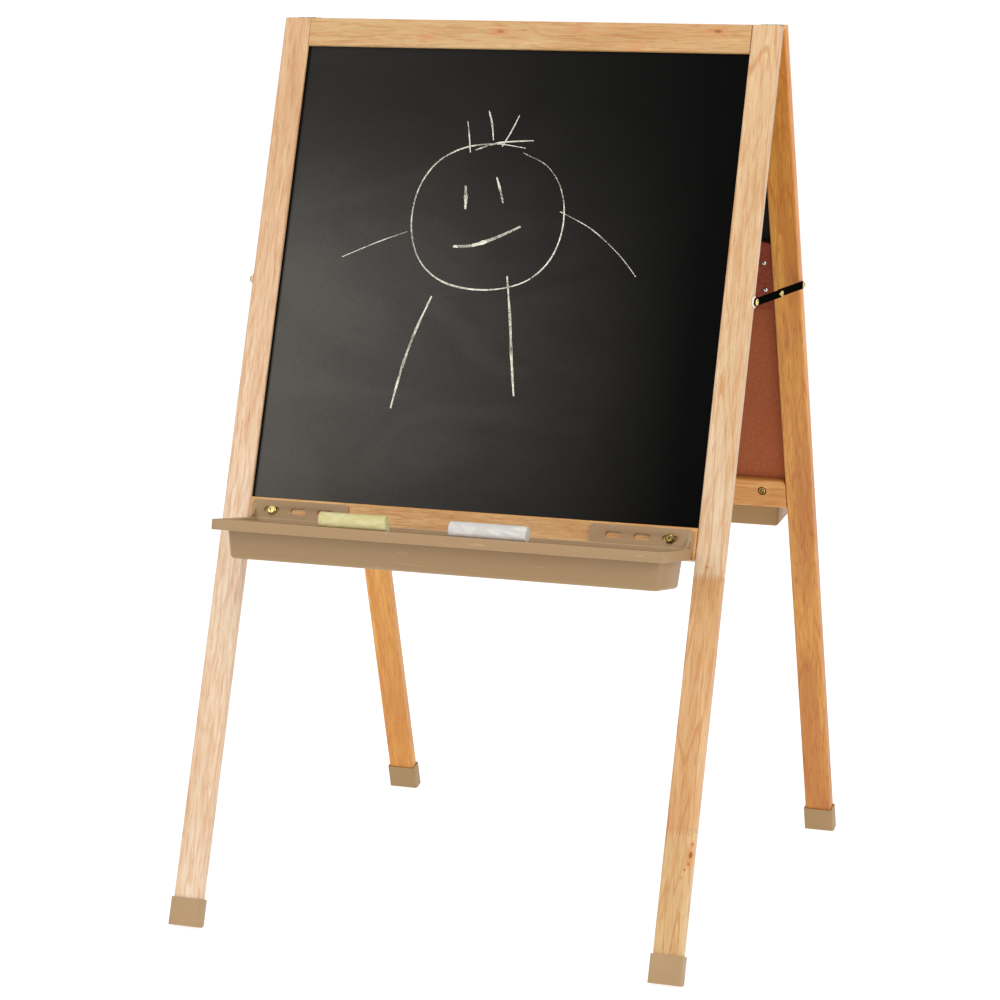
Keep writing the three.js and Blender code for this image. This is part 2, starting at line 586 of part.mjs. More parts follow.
function hingePin(sign) {
  const r = HINGE_PIN_RADIUS;
  const head = HINGE_PIN_HEAD_RADIUS;
  const neck = LEAF_WIDTH / 2 + FIT_GAP;
  const end = neck + HINGE_PIN_HEAD;
  const profile = [[0, -end], [head, -end], [head, -neck], [r, -neck]];
  profile.push([r, neck], [head, neck], [head, end], [0, end]);
  return alongX(turned(profile)).translate(sign * HINGE_X, 0, 0);
}

// ---- One framed side: the chalkboard side faces -Y, the dry-erase side is turned round ------------
function framedSide(prefix, turnedRound) {
  const side = new THREE.Group();
  const wood = turnedRound ? HONEY_WOOD : PALE_WOOD;
  const thickness = turnedRound ? DRY_BOARD_THICKNESS : CHALKBOARD_THICKNESS;
  piece(side, prefix + "_top_rail", topRail(thickness), wood);
  piece(side, prefix + "_bottom_rail", bottomRail(thickness, turnedRound), wood);
  const boardName = turnedRound ? "dry_erase_board" : "chalkboard";
  piece(side, boardName, boardBox(thickness, 0), turnedRound ? WHITEBOARD : BLACKBOARD);
  piece(side, prefix + "_tray", tray(), TAN_PLASTIC);
  for (const sign of [-1, 1]) {
    const hand = sideOf(sign, turnedRound);
    piece(side, `${prefix}_${hand}_leg`, leg(sign, thickness), wood);
    piece(side, `${prefix}_${hand}_boot`, boot(sign), TAN_PLASTIC);
    piece(side, `${prefix}_tray_${hand}_bolt`, trayBolt(sign), BRASS);
    piece(side, `${prefix}_tray_${hand}_sleeve_nut`, sleeveNut(sign), BRASS);
    const hinge = `${hand}_hinge_${prefix}`;
    piece(side, `${hinge}_leaf`, leaf(sign, turnedRound), ZINC);
    hingeScrewPlaces(sign).forEach((x, i) => {
      const screw = hingeScrew(x, TOP_Z + FIT_GAP + LEAF_THICKNESS);
      piece(side, `${hinge}_screw_${i + 1}`, screw, ZINC);
    });
    if (!turnedRound) piece(side, `${hand}_hinge_pin`, hingePin(sign), ZINC);
  }
  if (turnedRound) addSlat(side);
  else addChalk(side);
  side.position.set(0, 0, PIVOT_Z);
  side.rotation.set(turnedRound ? LEAN : -LEAN, 0, turnedRound ? Math.PI : 0);
  return side;
}

// ---- Folding stays -------------------------------------------------------------------------------
// A pan-head screw along +X with the underside of its head at 0.
function stayScrew() {
  return alongX(turned([
    [0, -STAY_SCREW_LENGTH],
    [STAY_SCREW_SHANK, -STAY_SCREW_LENGTH],
    [STAY_SCREW_SHANK, 0],
    [STAY_SCREW_HEAD, 0],
    [STAY_SCREW_HEAD, STAY_SCREW_HEAD_HEIGHT * 0.4],
    [STAY_SCREW_HEAD * 0.75, STAY_SCREW_HEAD_HEIGHT * 0.85],
    [0, STAY_SCREW_HEAD_HEIGHT],
  ], 14));
}

// A flat link with round ends from the screw at (0, 0) to the middle pivot along +Y, x from 0 up.
function link() {
  const round = STAY_WIDTH / 2 - TINY;
  const outline = roundedRectangle(STAY_HALF_SPAN + STAY_WIDTH, STAY_WIDTH, round);
  const strap = prism(outline, 0, STAY_THICKNESS).translate(STAY_HALF_SPAN / 2, 0, 0);
  const screwHole = rod(STAY_SCREW_SHANK + RUN_GAP, -OVERCUT, STAY_THICKNESS + OVERCUT);
  const rivetHole = rod(RIVET_SHANK + RUN_GAP, -OVERCUT, STAY_THICKNESS + OVERCUT);
  rivetHole.translate(STAY_HALF_SPAN, 0, 0);
  return cut(strap, screwHole, rivetHole).applyMatrix4(TO_YZ);
}

// The middle rivet is a hollow one, closed over the outer link only, so the inner link passes behind it.
function middleRivet() {
  const low = FIT_GAP;
  const high = STAY_THICKNESS + FIT_GAP + RIVET_HEAD_HEIGHT;
  return alongX(turned([
    [RIVET_HOLE, low],
    [RIVET_SHANK, low],
    [RIVET_SHANK, STAY_THICKNESS + FIT_GAP],
    [RIVET_RADIUS, STAY_THICKNESS + FIT_GAP],
    [RIVET_RADIUS - RIVET_ROUND, high - RIVET_ROUND],
    [(RIVET_RADIUS + RIVET_HOLE) / 2, high],
    [RIVET_HOLE, high - RIVET_ROUND],
    [RIVET_HOLE, low],
  ], 14));
}

function washer() {
  const inner = STAY_SCREW_SHANK + FIT_GAP;
  const t = WASHER_THICKNESS;
  return alongX(turned([[inner, 0], [WASHER_RADIUS, 0], [WASHER_RADIUS, t], [inner, t], [inner, 0]], 16));
}

function stay(hand) {
  const group = new THREE.Group();
  const pivotY = STAY_HALF_SPAN;
  const pivotZ = PIVOT_Z + STAY_Z * Math.cos(LEAN) - LEG_MID_Y * Math.sin(LEAN);
  const headX = STAY_THICKNESS + FIT_GAP;
  const place = (name, geometry, material, x, y) => {
    piece(group, `${hand}_stay_${name}`, geometry, material).position.set(x, y, pivotZ);
  };
  place("front_washer", washer(), NYLON, WASHER_X, -pivotY);
  place("front_link", link(), BLACK_STEEL, OUTER_LINK_X, -pivotY);
  place("front_screw", stayScrew(), BRASS, OUTER_LINK_X + headX, -pivotY);
  place("middle_rivet", middleRivet(), BRASS, OUTER_LINK_X, 0);
  place("rear_link", link().rotateX(Math.PI), BLACK_STEEL, INNER_LINK_X, pivotY);
  place("rear_screw", stayScrew(), BRASS, INNER_LINK_X + headX, pivotY);
  if (hand === "left") group.scale.set(-1, 1, 1);
  return group;
}

// ---- Chalk sticks, loose in the channel of the front tray -----------------------------------------
function chalk({ x, length }) {
  const half = length / 2;
  const edge = CHALK_EDGE;
  const r = CHALK_RADIUS;
  const profile = [[0, -half], [r - edge, -half], [r, -half + edge]];
  profile.push([r, half - edge], [r - edge, half], [0, half]);
  const height = CHALK_RADIUS + FIT_GAP - CHALK_BED_SINK;
  return toTrayPlace(alongX(turned(profile, 20)).translate(x, -CHALK_BED_OUT, height));
}

function addChalk(side) {
  piece(side, "yellow_chalk", chalk(YELLOW_CHALK), YELLOW);
  piece(side, "white_chalk", chalk(WHITE_CHALK), WHITE);
}

// ---- The easel -----------------------------------------------------------------------------------
const easel = new THREE.Group();
easel.add(framedSide("front", false), framedSide("rear", true), stay("left"), stay("right"));

export default easel;
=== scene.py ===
# Double-sided wooden easel for children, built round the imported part. Metres, +Z up, the chalkboard faces -Y.
import json
import math

import bmesh
import bpy
from mathutils import Matrix, Vector, noise


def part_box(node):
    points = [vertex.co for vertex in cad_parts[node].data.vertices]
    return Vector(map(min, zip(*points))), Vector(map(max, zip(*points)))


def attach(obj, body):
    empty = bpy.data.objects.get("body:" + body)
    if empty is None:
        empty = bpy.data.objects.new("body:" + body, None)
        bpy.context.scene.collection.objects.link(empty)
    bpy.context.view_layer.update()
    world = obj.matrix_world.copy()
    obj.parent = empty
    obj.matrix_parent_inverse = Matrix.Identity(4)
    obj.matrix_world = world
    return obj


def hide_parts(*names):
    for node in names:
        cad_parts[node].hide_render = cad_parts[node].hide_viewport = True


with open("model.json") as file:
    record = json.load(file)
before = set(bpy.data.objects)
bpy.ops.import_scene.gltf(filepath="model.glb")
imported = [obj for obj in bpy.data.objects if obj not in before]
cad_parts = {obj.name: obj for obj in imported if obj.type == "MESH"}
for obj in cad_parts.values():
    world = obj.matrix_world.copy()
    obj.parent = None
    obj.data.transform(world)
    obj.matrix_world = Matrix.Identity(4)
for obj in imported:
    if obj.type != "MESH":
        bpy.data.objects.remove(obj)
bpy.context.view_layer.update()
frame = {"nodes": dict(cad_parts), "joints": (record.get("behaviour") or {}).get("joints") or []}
nodes = frame["nodes"]

# ---- Camera ----------------------------------------------------------------------------------------
# A long lens from the right of the chalkboard side, a little above the top rail and looking slightly down.
# Its three turns are in radians.
EYE = Vector((1.2869, -3.6686, 1.1428))
YAW, PITCH, ROLL = 0.34573, -0.16719, 0.00987
FILM_MM, LENS_MM, FAR_SIGHT = 36, 112.95, 1000
forward = Vector((-math.sin(YAW) * math.cos(PITCH), math.cos(YAW) * math.cos(PITCH), math.sin(PITCH)))
level = Vector((math.cos(YAW), math.sin(YAW), 0))
upward = level.cross(forward)
across = math.cos(ROLL) * level + math.sin(ROLL) * upward
above = math.cos(ROLL) * upward - math.sin(ROLL) * level
lens = bpy.data.cameras.new("camera")
lens.sensor_width = FILM_MM
lens.lens = LENS_MM
lens.clip_end = FAR_SIGHT
camera = bpy.data.objects.new("camera", lens)
bpy.context.collection.objects.link(camera)
camera.matrix_world = Matrix.Translation(EYE) @ Matrix((across, above, -forward)).transposed().to_4x4()
bpy.context.scene.camera = camera

# ---- Studio ----------------------------------------------------------------------------------------
# White floor running out of sight and white room light. Large soft lights hang overhead and at the left, with a
# weak one at the right and one behind.
bpy.context.scene.view_settings.view_transform = "Standard"

ROOM_GLOW, ROOM_WHITE = 0.52, 1.1  # what the room lights with, and how it looks past the floor's edge
room = bpy.data.worlds.new("room")
bpy.context.scene.world = room
room.use_nodes = True
room_tree = room.node_tree
background = room_tree.nodes["Background"]
background.inputs["Color"].default_value = (1.0, 0.99, 0.975, 1)
rays = room_tree.nodes.new("ShaderNodeLightPath")
seen = room_tree.nodes.new("ShaderNodeMapRange")
seen.inputs["To Min"].default_value = ROOM_GLOW
seen.inputs["To Max"].default_value = ROOM_WHITE
room_tree.links.new(rays.outputs["Is Camera Ray"], seen.inputs["Value"])
room_tree.links.new(seen.outputs["Result"], background.inputs["Strength"])

FLOOR_RADIUS, FLOOR_DROP = 400, 0.0004
FLOOR_GREY, FLOOR_GLOW = 0.3, 0.85
bm = bmesh.new()
bmesh.ops.create_circle(bm, cap_ends=True, segments=96, radius=FLOOR_RADIUS)
floor_mesh = bpy.data.meshes.new("floor")
bm.to_mesh(floor_mesh)
bm.free()
floor = bpy.data.objects.new("floor", floor_mesh)
floor.location.z = -FLOOR_DROP
bpy.context.collection.objects.link(floor)
floor_paint = bpy.data.materials.new("floor_paint")
floor_paint.use_nodes = True
floor_shader = floor_paint.node_tree.nodes["Principled BSDF"]
floor_shader.inputs["Base Color"].default_value = (FLOOR_GREY, FLOOR_GREY, FLOOR_GREY, 1)
floor_shader.inputs["Roughness"].default_value = 0.9
floor_shader.inputs["Emission Color"].default_value = (1, 1, 1, 1)
floor_shader.inputs["Emission Strength"].default_value = FLOOR_GLOW
floor_mesh.materials.append(floor_paint)

AIM = Vector((0, -0.1, 0.55))
for name, place, size, watts in (
    ("key_light", (-2.8, -5.0, 2.8), 3.0, 76),
    ("top_light", (0.3, -1.4, 4.2), 2.4, 62),
    ("side_light", (3.4, -1.6, 1.7), 1.8, 44),
    ("back_light", (0.6, 3.4, 2.8), 2.4, 58),
):
    lamp = bpy.data.lights.new(name, "AREA")
    lamp.size = size
    lamp.energy = watts
    light = bpy.data.objects.new(name, lamp)
    light.location = place
    light.rotation_euler = (AIM - Vector(place)).to_track_quat("-Z", "Y").to_euler()
    bpy.context.collection.objects.link(light)

# ---- Timber ----------------------------------------------------------------------------------------
# Legs and rails of lacquered rubberwood: straight grain, fine dark pores in short dashes, a few pin knots.
# The rear frame is the same timber as the front one; its colours are painted more orange and darker as
# painted shade, for the shade between the frames.
fold = next(joint for joint in frame["joints"] if joint["name"] == "fold")
LEAN = math.radians(fold["range_deg"][1] / 2)
PIVOT = Vector(fold["pos_m"])
SIDE = {
    "front": Matrix.Translation(PIVOT) @ Matrix.Rotation(-LEAN, 4, "X"),
    "rear": Matrix.Translation(PIVOT) @ Matrix.Rotation(LEAN, 4, "X") @ Matrix.Rotation(math.pi, 4, "Z"),
}
ALONG_LEG = Matrix.Rotation(math.radians(90), 4, "Y")
ALONG_RAIL = Matrix.Identity(4)


def srgb(red, green, blue):
    values = [c / 255 for c in (red, green, blue)]
    return tuple(c / 12.92 if c <= 0.04045 else ((c + 0.055) / 1.055) ** 2.4 for c in values) + (1.0,)


def group_of(name, inputs, outputs):
    group = bpy.data.node_groups.new(name, "ShaderNodeTree")
    for label, kind, value in inputs:
        made = group.interface.new_socket(name=label, in_out="INPUT", socket_type="NodeSocket" + kind)
        if value is not None:
            made.default_value = value
    for label, kind in outputs:
        group.interface.new_socket(name=label, in_out="OUTPUT", socket_type="NodeSocket" + kind)
    return group, group.nodes.new("NodeGroupInput"), group.nodes.new("NodeGroupOutput")


def node(tree, kind, **settings):
    made = tree.nodes.new("ShaderNode" + kind)
    for key, value in settings.items():
        if hasattr(made, key):
            setattr(made, key, value)
        else:
            made.inputs[key.replace("_", " ").title()].default_value = value
    return made


def stretched_noise(tree, vector, scale, detail=4.0, distortion=0.0):
    """Noise drawn out along X: scale is cells to the metre along X, Y and Z."""
    spread = node(tree, "Mapping")
    spread.inputs["Scale"].default_value = scale
    tree.links.new(vector, spread.inputs["Vector"])
    cells = node(tree, "TexNoise", Scale=1.0, Detail=detail, Distortion=distortion)
    tree.links.new(spread.outputs["Vector"], cells.inputs["Vector"])
    return cells.outputs["Fac"]


def between(tree, value, low, high, to_low=0.0, to_high=1.0, how="SMOOTHSTEP"):
    span = node(tree, "MapRange", interpolation_type=how)
    for label, number in (("From Min", low), ("From Max", high), ("To Min", to_low), ("To Max", to_high)):
        span.inputs[label].default_value = number
    tree.links.new(value, span.inputs["Value"])
    return span.outputs["Result"]


def feed(tree, value, socket):
    """Links a pattern in, or sets a plain value on the socket itself."""
    if isinstance(value, bpy.types.NodeSocket):
        tree.links.new(value, socket)
    else:
        socket.default_value = value


def blend(tree, factor, first, second, how="MIX"):
    mix = node(tree, "Mix", data_type="RGBA", blend_type=how)
    for slot, value in ((0, factor), (6, first), (7, second)):
        feed(tree, value, mix.inputs[slot])
    return mix.outputs[2]


def maths(tree, how, first, second):
    sums = node(tree, "Math", operation=how)
    for slot, value in ((0, first), (1, second)):
        feed(tree, value, sums.inputs[slot])
    return sums.outputs[0]


def times(tree, first, second):
    return maths(tree, "MULTIPLY", first, second)


timber_grain, given, result = group_of(
    "timber_grain",
    [("Grain", "Vector", None), ("Pale", "Color", (0.8, 0.6, 0.4, 1)), ("Dark", "Color", (0.6, 0.35, 0.15, 1)),
     ("Wave", "Float", 0.5), ("Contrast", "Float", 1.0), ("Knots", "Float", 0.0), ("Figure", "Float", 0.25)],
    [("Color", "Color"), ("Roughness", "Float"), ("Height", "Float")],
)
grain = given.outputs["Grain"]
strength = given.outputs["Contrast"]


def ribbons(scale, detail, low, high, share):
    """Grain lines as a 0 to share mask, wavier and stronger where the board's inputs say so."""
    spread = node(timber_grain, "Mapping")
    spread.inputs["Scale"].default_value = scale
    cells = node(timber_grain, "TexNoise", Scale=1.0, Detail=detail)
    timber_grain.links.new(grain, spread.inputs["Vector"])
    timber_grain.links.new(spread.outputs["Vector"], cells.inputs["Vector"])
    timber_grain.links.new(given.outputs["Wave"], cells.inputs["Distortion"])
    mask = between(timber_grain, cells.outputs["Fac"], low, high, 0.0, share)
    return times(timber_grain, mask, strength)


tree = timber_grain
fibre = stretched_noise(tree, grain, (30, 640, 640), 3.0)
pores = between(tree, stretched_noise(tree, grain, (48, 1300, 1300), 2.0), 0.61, 0.72)
drift = between(tree, stretched_noise(tree, grain, (3.2, 7, 7), 3.0), 0.3, 0.7)
knot_cells = node(tree, "TexVoronoi", Scale=1.0)
knot_spread = node(tree, "Mapping")
knot_spread.inputs["Scale"].default_value = (16, 38, 38)
tree.links.new(grain, knot_spread.inputs["Vector"])
tree.links.new(knot_spread.outputs["Vector"], knot_cells.inputs["Vector"])
knot_heart = times(tree, between(tree, knot_cells.outputs["Distance"], 0.13, 0.04), given.outputs["Knots"])
knot_halo = times(tree, between(tree, knot_cells.outputs["Distance"], 0.34, 0.06), given.outputs["Knots"])
dark = given.outputs["Dark"]
wood = blend(tree, ribbons((2.6, 30, 30), 5.0, 0.36, 0.64, 0.70), given.outputs["Pale"], dark)
wood = blend(tree, ribbons((9.0, 120, 120), 5.0, 0.40, 0.64, 0.28), wood, dark)
line_colour = blend(tree, 1.0, dark, srgb(240, 200, 150), "MULTIPLY")
wood = blend(tree, ribbons((26, 360, 360), 4.0, 0.48, 0.64, 0.48), wood, line_colour)
# flat-sawn loops: the growth rings cut through at a slant
ring_depth = times(tree, stretched_noise(tree, grain, (3.0, 22, 22), 1.0, 0.3), 58.0)
ring_line = between(tree, maths(tree, "SINE", ring_depth, 0.0), 0.80, 1.0, 0.0, 0.75)
wood = blend(tree, times(tree, ring_line, given.outputs["Figure"]), wood, line_colour)
wood = blend(tree, times(tree, drift, 0.30), wood, srgb(247, 214, 176), "MULTIPLY")
wood = blend(tree, between(tree, fibre, 0.35, 0.7, 0.0, 0.26), wood, srgb(196, 122, 58))
wood = blend(tree, times(tree, pores, 0.42), wood, srgb(158, 90, 40))
wood = blend(tree, times(tree, knot_halo, 0.5), wood, srgb(196, 112, 50))
wood = blend(tree, times(tree, knot_heart, 0.85), wood, srgb(104, 50, 22))
tree.links.new(wood, result.inputs["Color"])
tree.links.new(between(tree, fibre, 0.3, 0.7, 0.36, 0.54), result.inputs["Roughness"])
height = maths(tree, "SUBTRACT", times(tree, fibre, 0.5), pores)
tree.links.new(height, result.inputs["Height"])

# A finger joint between two lengths glued end to end: a zigzag of thin glue lines 10 mm long at a 3.8 mm pitch.
finger_joint, given, result = group_of(
    "finger_joint", [("Grain", "Vector", None), ("At", "Float", 0.0)], [("Lines", "Float"), ("Beyond", "Float")]
)
FINGER_PITCH, FINGER_STEEP, GLUE_LINE = 0.0038, 5.3, 0.0006
tree = finger_joint
ways = node(tree, "SeparateXYZ")
tree.links.new(given.outputs["Grain"], ways.inputs["Vector"])
past = maths(tree, "SUBTRACT", given.outputs["At"], ways.outputs["X"])
zigzag = maths(tree, "PINGPONG", ways.outputs["Z"], FINGER_PITCH / 2)
tooth = times(tree, zigzag, FINGER_STEEP)
ahead = maths(tree, "SUBTRACT", past, tooth)
nearness = maths(tree, "ABSOLUTE", ahead, 0.0)
glue = between(tree, nearness, 0.0026, GLUE_LINE)
begun, ended = between(tree, past, -0.001, 0.001), between(tree, past, 0.011, 0.009)
tree.links.new(times(tree, glue, times(tree, begun, ended)), result.inputs["Lines"])
tree.links.new(between(tree, ahead, -0.0004, 0.0004), result.inputs["Beyond"])

# A pin knot: a dark heart with an amber halo, drawn out along the grain and ragged at its edge.
pin_knot, given, result = group_of(
    "pin_knot", [("Grain", "Vector", None), ("Place", "Vector", (0.0, 0.0, 0.0)), ("Size", "Float", 0.002)],
    [("Heart", "Float"), ("Halo", "Float")],
)
tree = pin_knot
off = node(tree, "VectorMath", operation="SUBTRACT")
tree.links.new(given.outputs["Grain"], off.inputs[0])
tree.links.new(given.outputs["Place"], off.inputs[1])
squeezed = node(tree, "VectorMath", operation="MULTIPLY")
tree.links.new(off.outputs["Vector"], squeezed.inputs[0])
squeezed.inputs[1].default_value = (0.6, 0.4, 1.0)
length = node(tree, "VectorMath", operation="LENGTH")
tree.links.new(squeezed.outputs["Vector"], length.inputs[0])
ragged = stretched_noise(tree, given.outputs["Grain"], (160, 420, 420), 2.0)
reach = maths(tree, "DIVIDE", length.outputs["Value"], given.outputs["Size"])
reach = times(tree, reach, between(tree, ragged, 0.3, 0.7, 0.7, 1.5))
tree.links.new(between(tree, reach, 1.1, 0.6), result.inputs["Heart"])
tree.links.new(between(tree, reach, 3.4, 0.8), result.inputs["Halo"])


def material_of(name):
    made = bpy.data.materials.new(name)
    made.use_nodes = True
    return made, made.node_tree, made.node_tree.nodes["Principled BSDF"]


def laid_along(tree, place, shift=(0, 0, 0)):
    """Object coordinates turned into a piece's own axes, and moved along by shift."""
    where = node(tree, "TexCoord")
    turn = node(tree, "Mapping")
    turn.inputs["Rotation"].default_value = place.to_euler()
    turn.inputs["Location"].default_value = place.translation + Vector(shift)
    tree.links.new(where.outputs["Object"], turn.inputs["Vector"])
    return turn.outputs["Vector"]


def finished(tree, shader, colour, roughness, height=None, depth=0.0, specular=None):
    """Feeds a shader its colour, roughness and, where given, its relief and how much it reflects."""
    feed(tree, colour, shader.inputs["Base Color"])
    feed(tree, roughness, shader.inputs["Roughness"])
    if specular is not None:
        shader.inputs["Specular IOR Level"].default_value = specular
    if height is not None:
        relief = node(tree, "Bump", Strength=1.0, Distance=depth)
        tree.links.new(height, relief.inputs["Height"])
        tree.links.new(relief.outputs["Normal"], shader.inputs["Normal"])


def put_in(tree, group, **values):
    made = node(tree, "Group")
    made.node_tree = group
    for key, value in values.items():
        feed(tree, value, made.inputs[key])
    return made


LACQUER, LACQUER_ROUGH, PORE_DEPTH = 0.15, 0.3, 0.00012


def timber(name, side, along, pale, dark, shift, knots=0.0, wave=0.5, contrast=1.0, figure=0.25, foot=None,
           run=(-0.1, -0.75), joints=(), pins=()):
    """Lengths of board from one end: foot is the pair of colours it drifts to over its run, joints where the
    next length begins with its own pair, and pins small knots at their places."""
    made, tree, shader = material_of(name)
    onto_board = along @ SIDE[side].inverted()
    own = laid_along(tree, onto_board)
    if foot:
        ways = node(tree, "SeparateXYZ")
        tree.links.new(own, ways.inputs["Vector"])
        down = between(tree, ways.outputs["X"], *run)
        pale, dark = blend(tree, down, pale, foot[0]), blend(tree, down, dark, foot[1])
    lines = []
    for at, next_pale, next_dark in joints:
        joint = put_in(tree, finger_joint, Grain=own, At=at)
        pale = blend(tree, joint.outputs["Beyond"], pale, next_pale)
        dark = blend(tree, joint.outputs["Beyond"], dark, next_dark)
        lines.append(joint.outputs["Lines"])
    board = put_in(tree, timber_grain, Grain=laid_along(tree, onto_board, shift), Pale=pale, Dark=dark,
                   Wave=wave, Contrast=contrast, Knots=knots, Figure=figure)
    colour = board.outputs["Color"]
    for glue in lines:
        colour = blend(tree, times(tree, glue, 0.5), colour, srgb(176, 112, 66))
    for place, size in pins:
        knot = put_in(tree, pin_knot, Grain=own, Place=place, Size=size)
        colour = blend(tree, times(tree, knot.outputs["Halo"], 0.6), colour, srgb(208, 136, 62))
        colour = blend(tree, times(tree, knot.outputs["Heart"], 0.95), colour, srgb(150, 76, 6))
    finished(tree, shader, colour, board.outputs["Roughness"], board.outputs["Height"], PORE_DEPTH)
    shader.inputs["Coat Weight"].default_value = LACQUER
    shader.inputs["Coat Roughness"].default_value = LACQUER_ROUGH
    return made


def paint(name, made):
    for place in nodes[name].material_slots:
        place.material = made


for name, side, along, pale, dark, shift, extras in (
    ("front_left_leg", "front", ALONG_LEG, srgb(207, 175, 136), srgb(189, 150, 108), (0.3, 0.0, 0.0),
     {"foot": (srgb(234, 215, 189), srgb(212, 184, 152)), "wave": 0.3}),
    ("front_right_leg", "front", ALONG_LEG, srgb(214, 192, 156), srgb(195, 164, 120), (1.9, 0.4, 0.1),
     {"foot": (srgb(227, 208, 181), srgb(206, 179, 140)), "wave": 0.8, "knots": 0.1, "figure": 0.75,
      "joints": ((-0.6605, srgb(218, 180, 130), srgb(194, 148, 92)),
                 (-0.9545, srgb(219, 193, 146), srgb(198, 165, 111))),
      "pins": (((-0.653, -0.018, -0.3007), 0.0009), ((-0.973, -0.018, -0.3188), 0.0011),
               ((-0.9855, -0.018, -0.3176), 0.0026), ((-0.996, -0.018, -0.3166), 0.0012),
               ((-1.003, -0.018, -0.3126), 0.0010), ((-1.012, -0.018, -0.3100), 0.0008))}),
    ("front_top_rail", "front", ALONG_RAIL, srgb(208, 183, 139), srgb(184, 149, 94), (3.1, 0.2, 0.3),
     {"foot": (srgb(196, 163, 112), srgb(173, 133, 76)), "run": (-0.25, 0.2), "knots": 0.9, "wave": 0.9}),
    ("front_bottom_rail", "front", ALONG_RAIL, srgb(219, 177, 113), srgb(193, 141, 75), (4.4, 0.7, 0.2),
     {"knots": 0.2, "wave": 2.6, "contrast": 1.1}),
    # Painted shade: the rear frame's colours are darker and more orange than the front's, for the shade between
    # the frames.
    ("rear_left_leg", "rear", ALONG_LEG, srgb(234, 178, 88), srgb(203, 136, 54), (5.6, 0.5, 0.6),
     {"knots": 0.1, "wave": 1.6, "contrast": 1.2, "figure": 0.35}),
    # Painted light: this leg is lighter at the top to offset the shade there, and darker at its foot to offset
    # the floor's light.
    ("rear_right_leg", "rear", ALONG_LEG, srgb(241, 179, 79), srgb(204, 134, 48), (7.2, 0.1, 0.8),
     {"foot": (srgb(216, 155, 68), srgb(182, 115, 41)), "knots": 0.25, "wave": 1.8, "contrast": 1.2,
      "figure": 0.45}),
    ("rear_top_rail", "rear", ALONG_RAIL, srgb(229, 172, 94), srgb(196, 132, 58), (8.3, 0.9, 0.4),
     {"knots": 0.4, "wave": 1.0, "contrast": 1.2}),
    ("rear_bottom_rail", "rear", ALONG_RAIL, srgb(232, 178, 100), srgb(198, 138, 64), (9.5, 0.3, 0.9),
     {"knots": 0.2, "wave": 1.4, "contrast": 1.2}),
):
    paint(name, timber(name + "_wood", side, along, pale, dark, shift, **extras))

# ---- Chalkboard ------------------------------------------------------------------------------------
# Hardboard with a matt black slate coat, held in grooves all round. A film of wiped chalk dust lies over its
# lower left half and thins out towards the top and the right. A strip a few millimetres wide beside the left leg
# is left bare as painted shade, the leg's shadow on the board.
made, tree, shader = material_of("slate_coat")
vector = laid_along(tree, SIDE["front"].inverted())
axes = node(tree, "SeparateXYZ")
tree.links.new(vector, axes.inputs["Vector"])
specks = stretched_noise(tree, vector, (1500, 1500, 1500), 2.0)
wiped = stretched_noise(tree, vector, (5, 5, 11), 5.0, 1.2)
from_right = maths(tree, "POWER", between(tree, axes.outputs["X"], 0.26, -0.26, how="LINEAR"), 1.25)
from_top = between(tree, axes.outputs["Z"], -0.05, -0.42, 0.24, 1.0)
# Painted shade: no film in a strip beside the left leg, for the leg's shadow there.
shade_by_left_leg = between(tree, axes.outputs["X"], -0.2835, -0.2790)
film = times(tree, times(tree, from_right, from_top), shade_by_left_leg)
film = times(tree, film, between(tree, wiped, 0.3, 0.7, 0.86, 1.1))
film = times(tree, film, between(tree, specks, 0.3, 0.7, 0.75, 1.2))
coat = blend(tree, film, (0.0020, 0.0020, 0.0019, 1), (0.090, 0.085, 0.077, 1))
finished(tree, shader, coat, between(tree, wiped, 0.3, 0.8, 0.62, 0.74), specks, 0.00005, specular=0.03)
paint("chalkboard", made)

# ---- Dry-erase board and its batten ----------------------------------------------------------------
# Brown hardboard, glossy white on its outer face. Its back is bare; above the batten it is painted near black as
# painted shade, for the deep shade between the frames there. The batten is a strip of the same hardboard across
# the back, held by four small screws.
OUTER_FACE_Y = -0.0135  # between the white face and the back, in the frame's own axes
BATTEN_TOP_Z = -0.279
FIBRE_DEPTH = 0.0001
board_fibre, given, result = group_of(
    "board_fibre",
    [("Vector", "Vector", None), ("Brown", "Color", (0.3, 0.1, 0.05, 1))],
    [("Color", "Color"), ("Height", "Float")],
)
tree = board_fibre
where = given.outputs["Vector"]
pulp = stretched_noise(tree, where, (700, 700, 700), 4.0, 0.6)
flecks = between(tree, stretched_noise(tree, where, (260, 260, 260), 3.0), 0.45, 0.7)
cloud = between(tree, stretched_noise(tree, where, (7, 7, 7), 3.0), 0.3, 0.7)
brown = blend(tree, times(tree, cloud, 0.18), given.outputs["Brown"], srgb(112, 50, 26))
brown = blend(tree, times(tree, flecks, 0.14), brown, srgb(206, 138, 96))
brown = blend(tree, between(tree, pulp, 0.45, 0.75, 0.0, 0.25), brown, srgb(84, 42, 26))
tree.links.new(brown, result.inputs["Color"])
tree.links.new(pulp, result.inputs["Height"])

made, tree, shader = material_of("dry_erase_sheet")
vector = laid_along(tree, SIDE["rear"].inverted())
axes = node(tree, "SeparateXYZ")
tree.links.new(vector, axes.inputs["Vector"])
back = put_in(tree, board_fibre, Vector=vector, Brown=srgb(160, 82, 42))
is_back = maths(tree, "GREATER_THAN", axes.outputs["Y"], OUTER_FACE_Y)
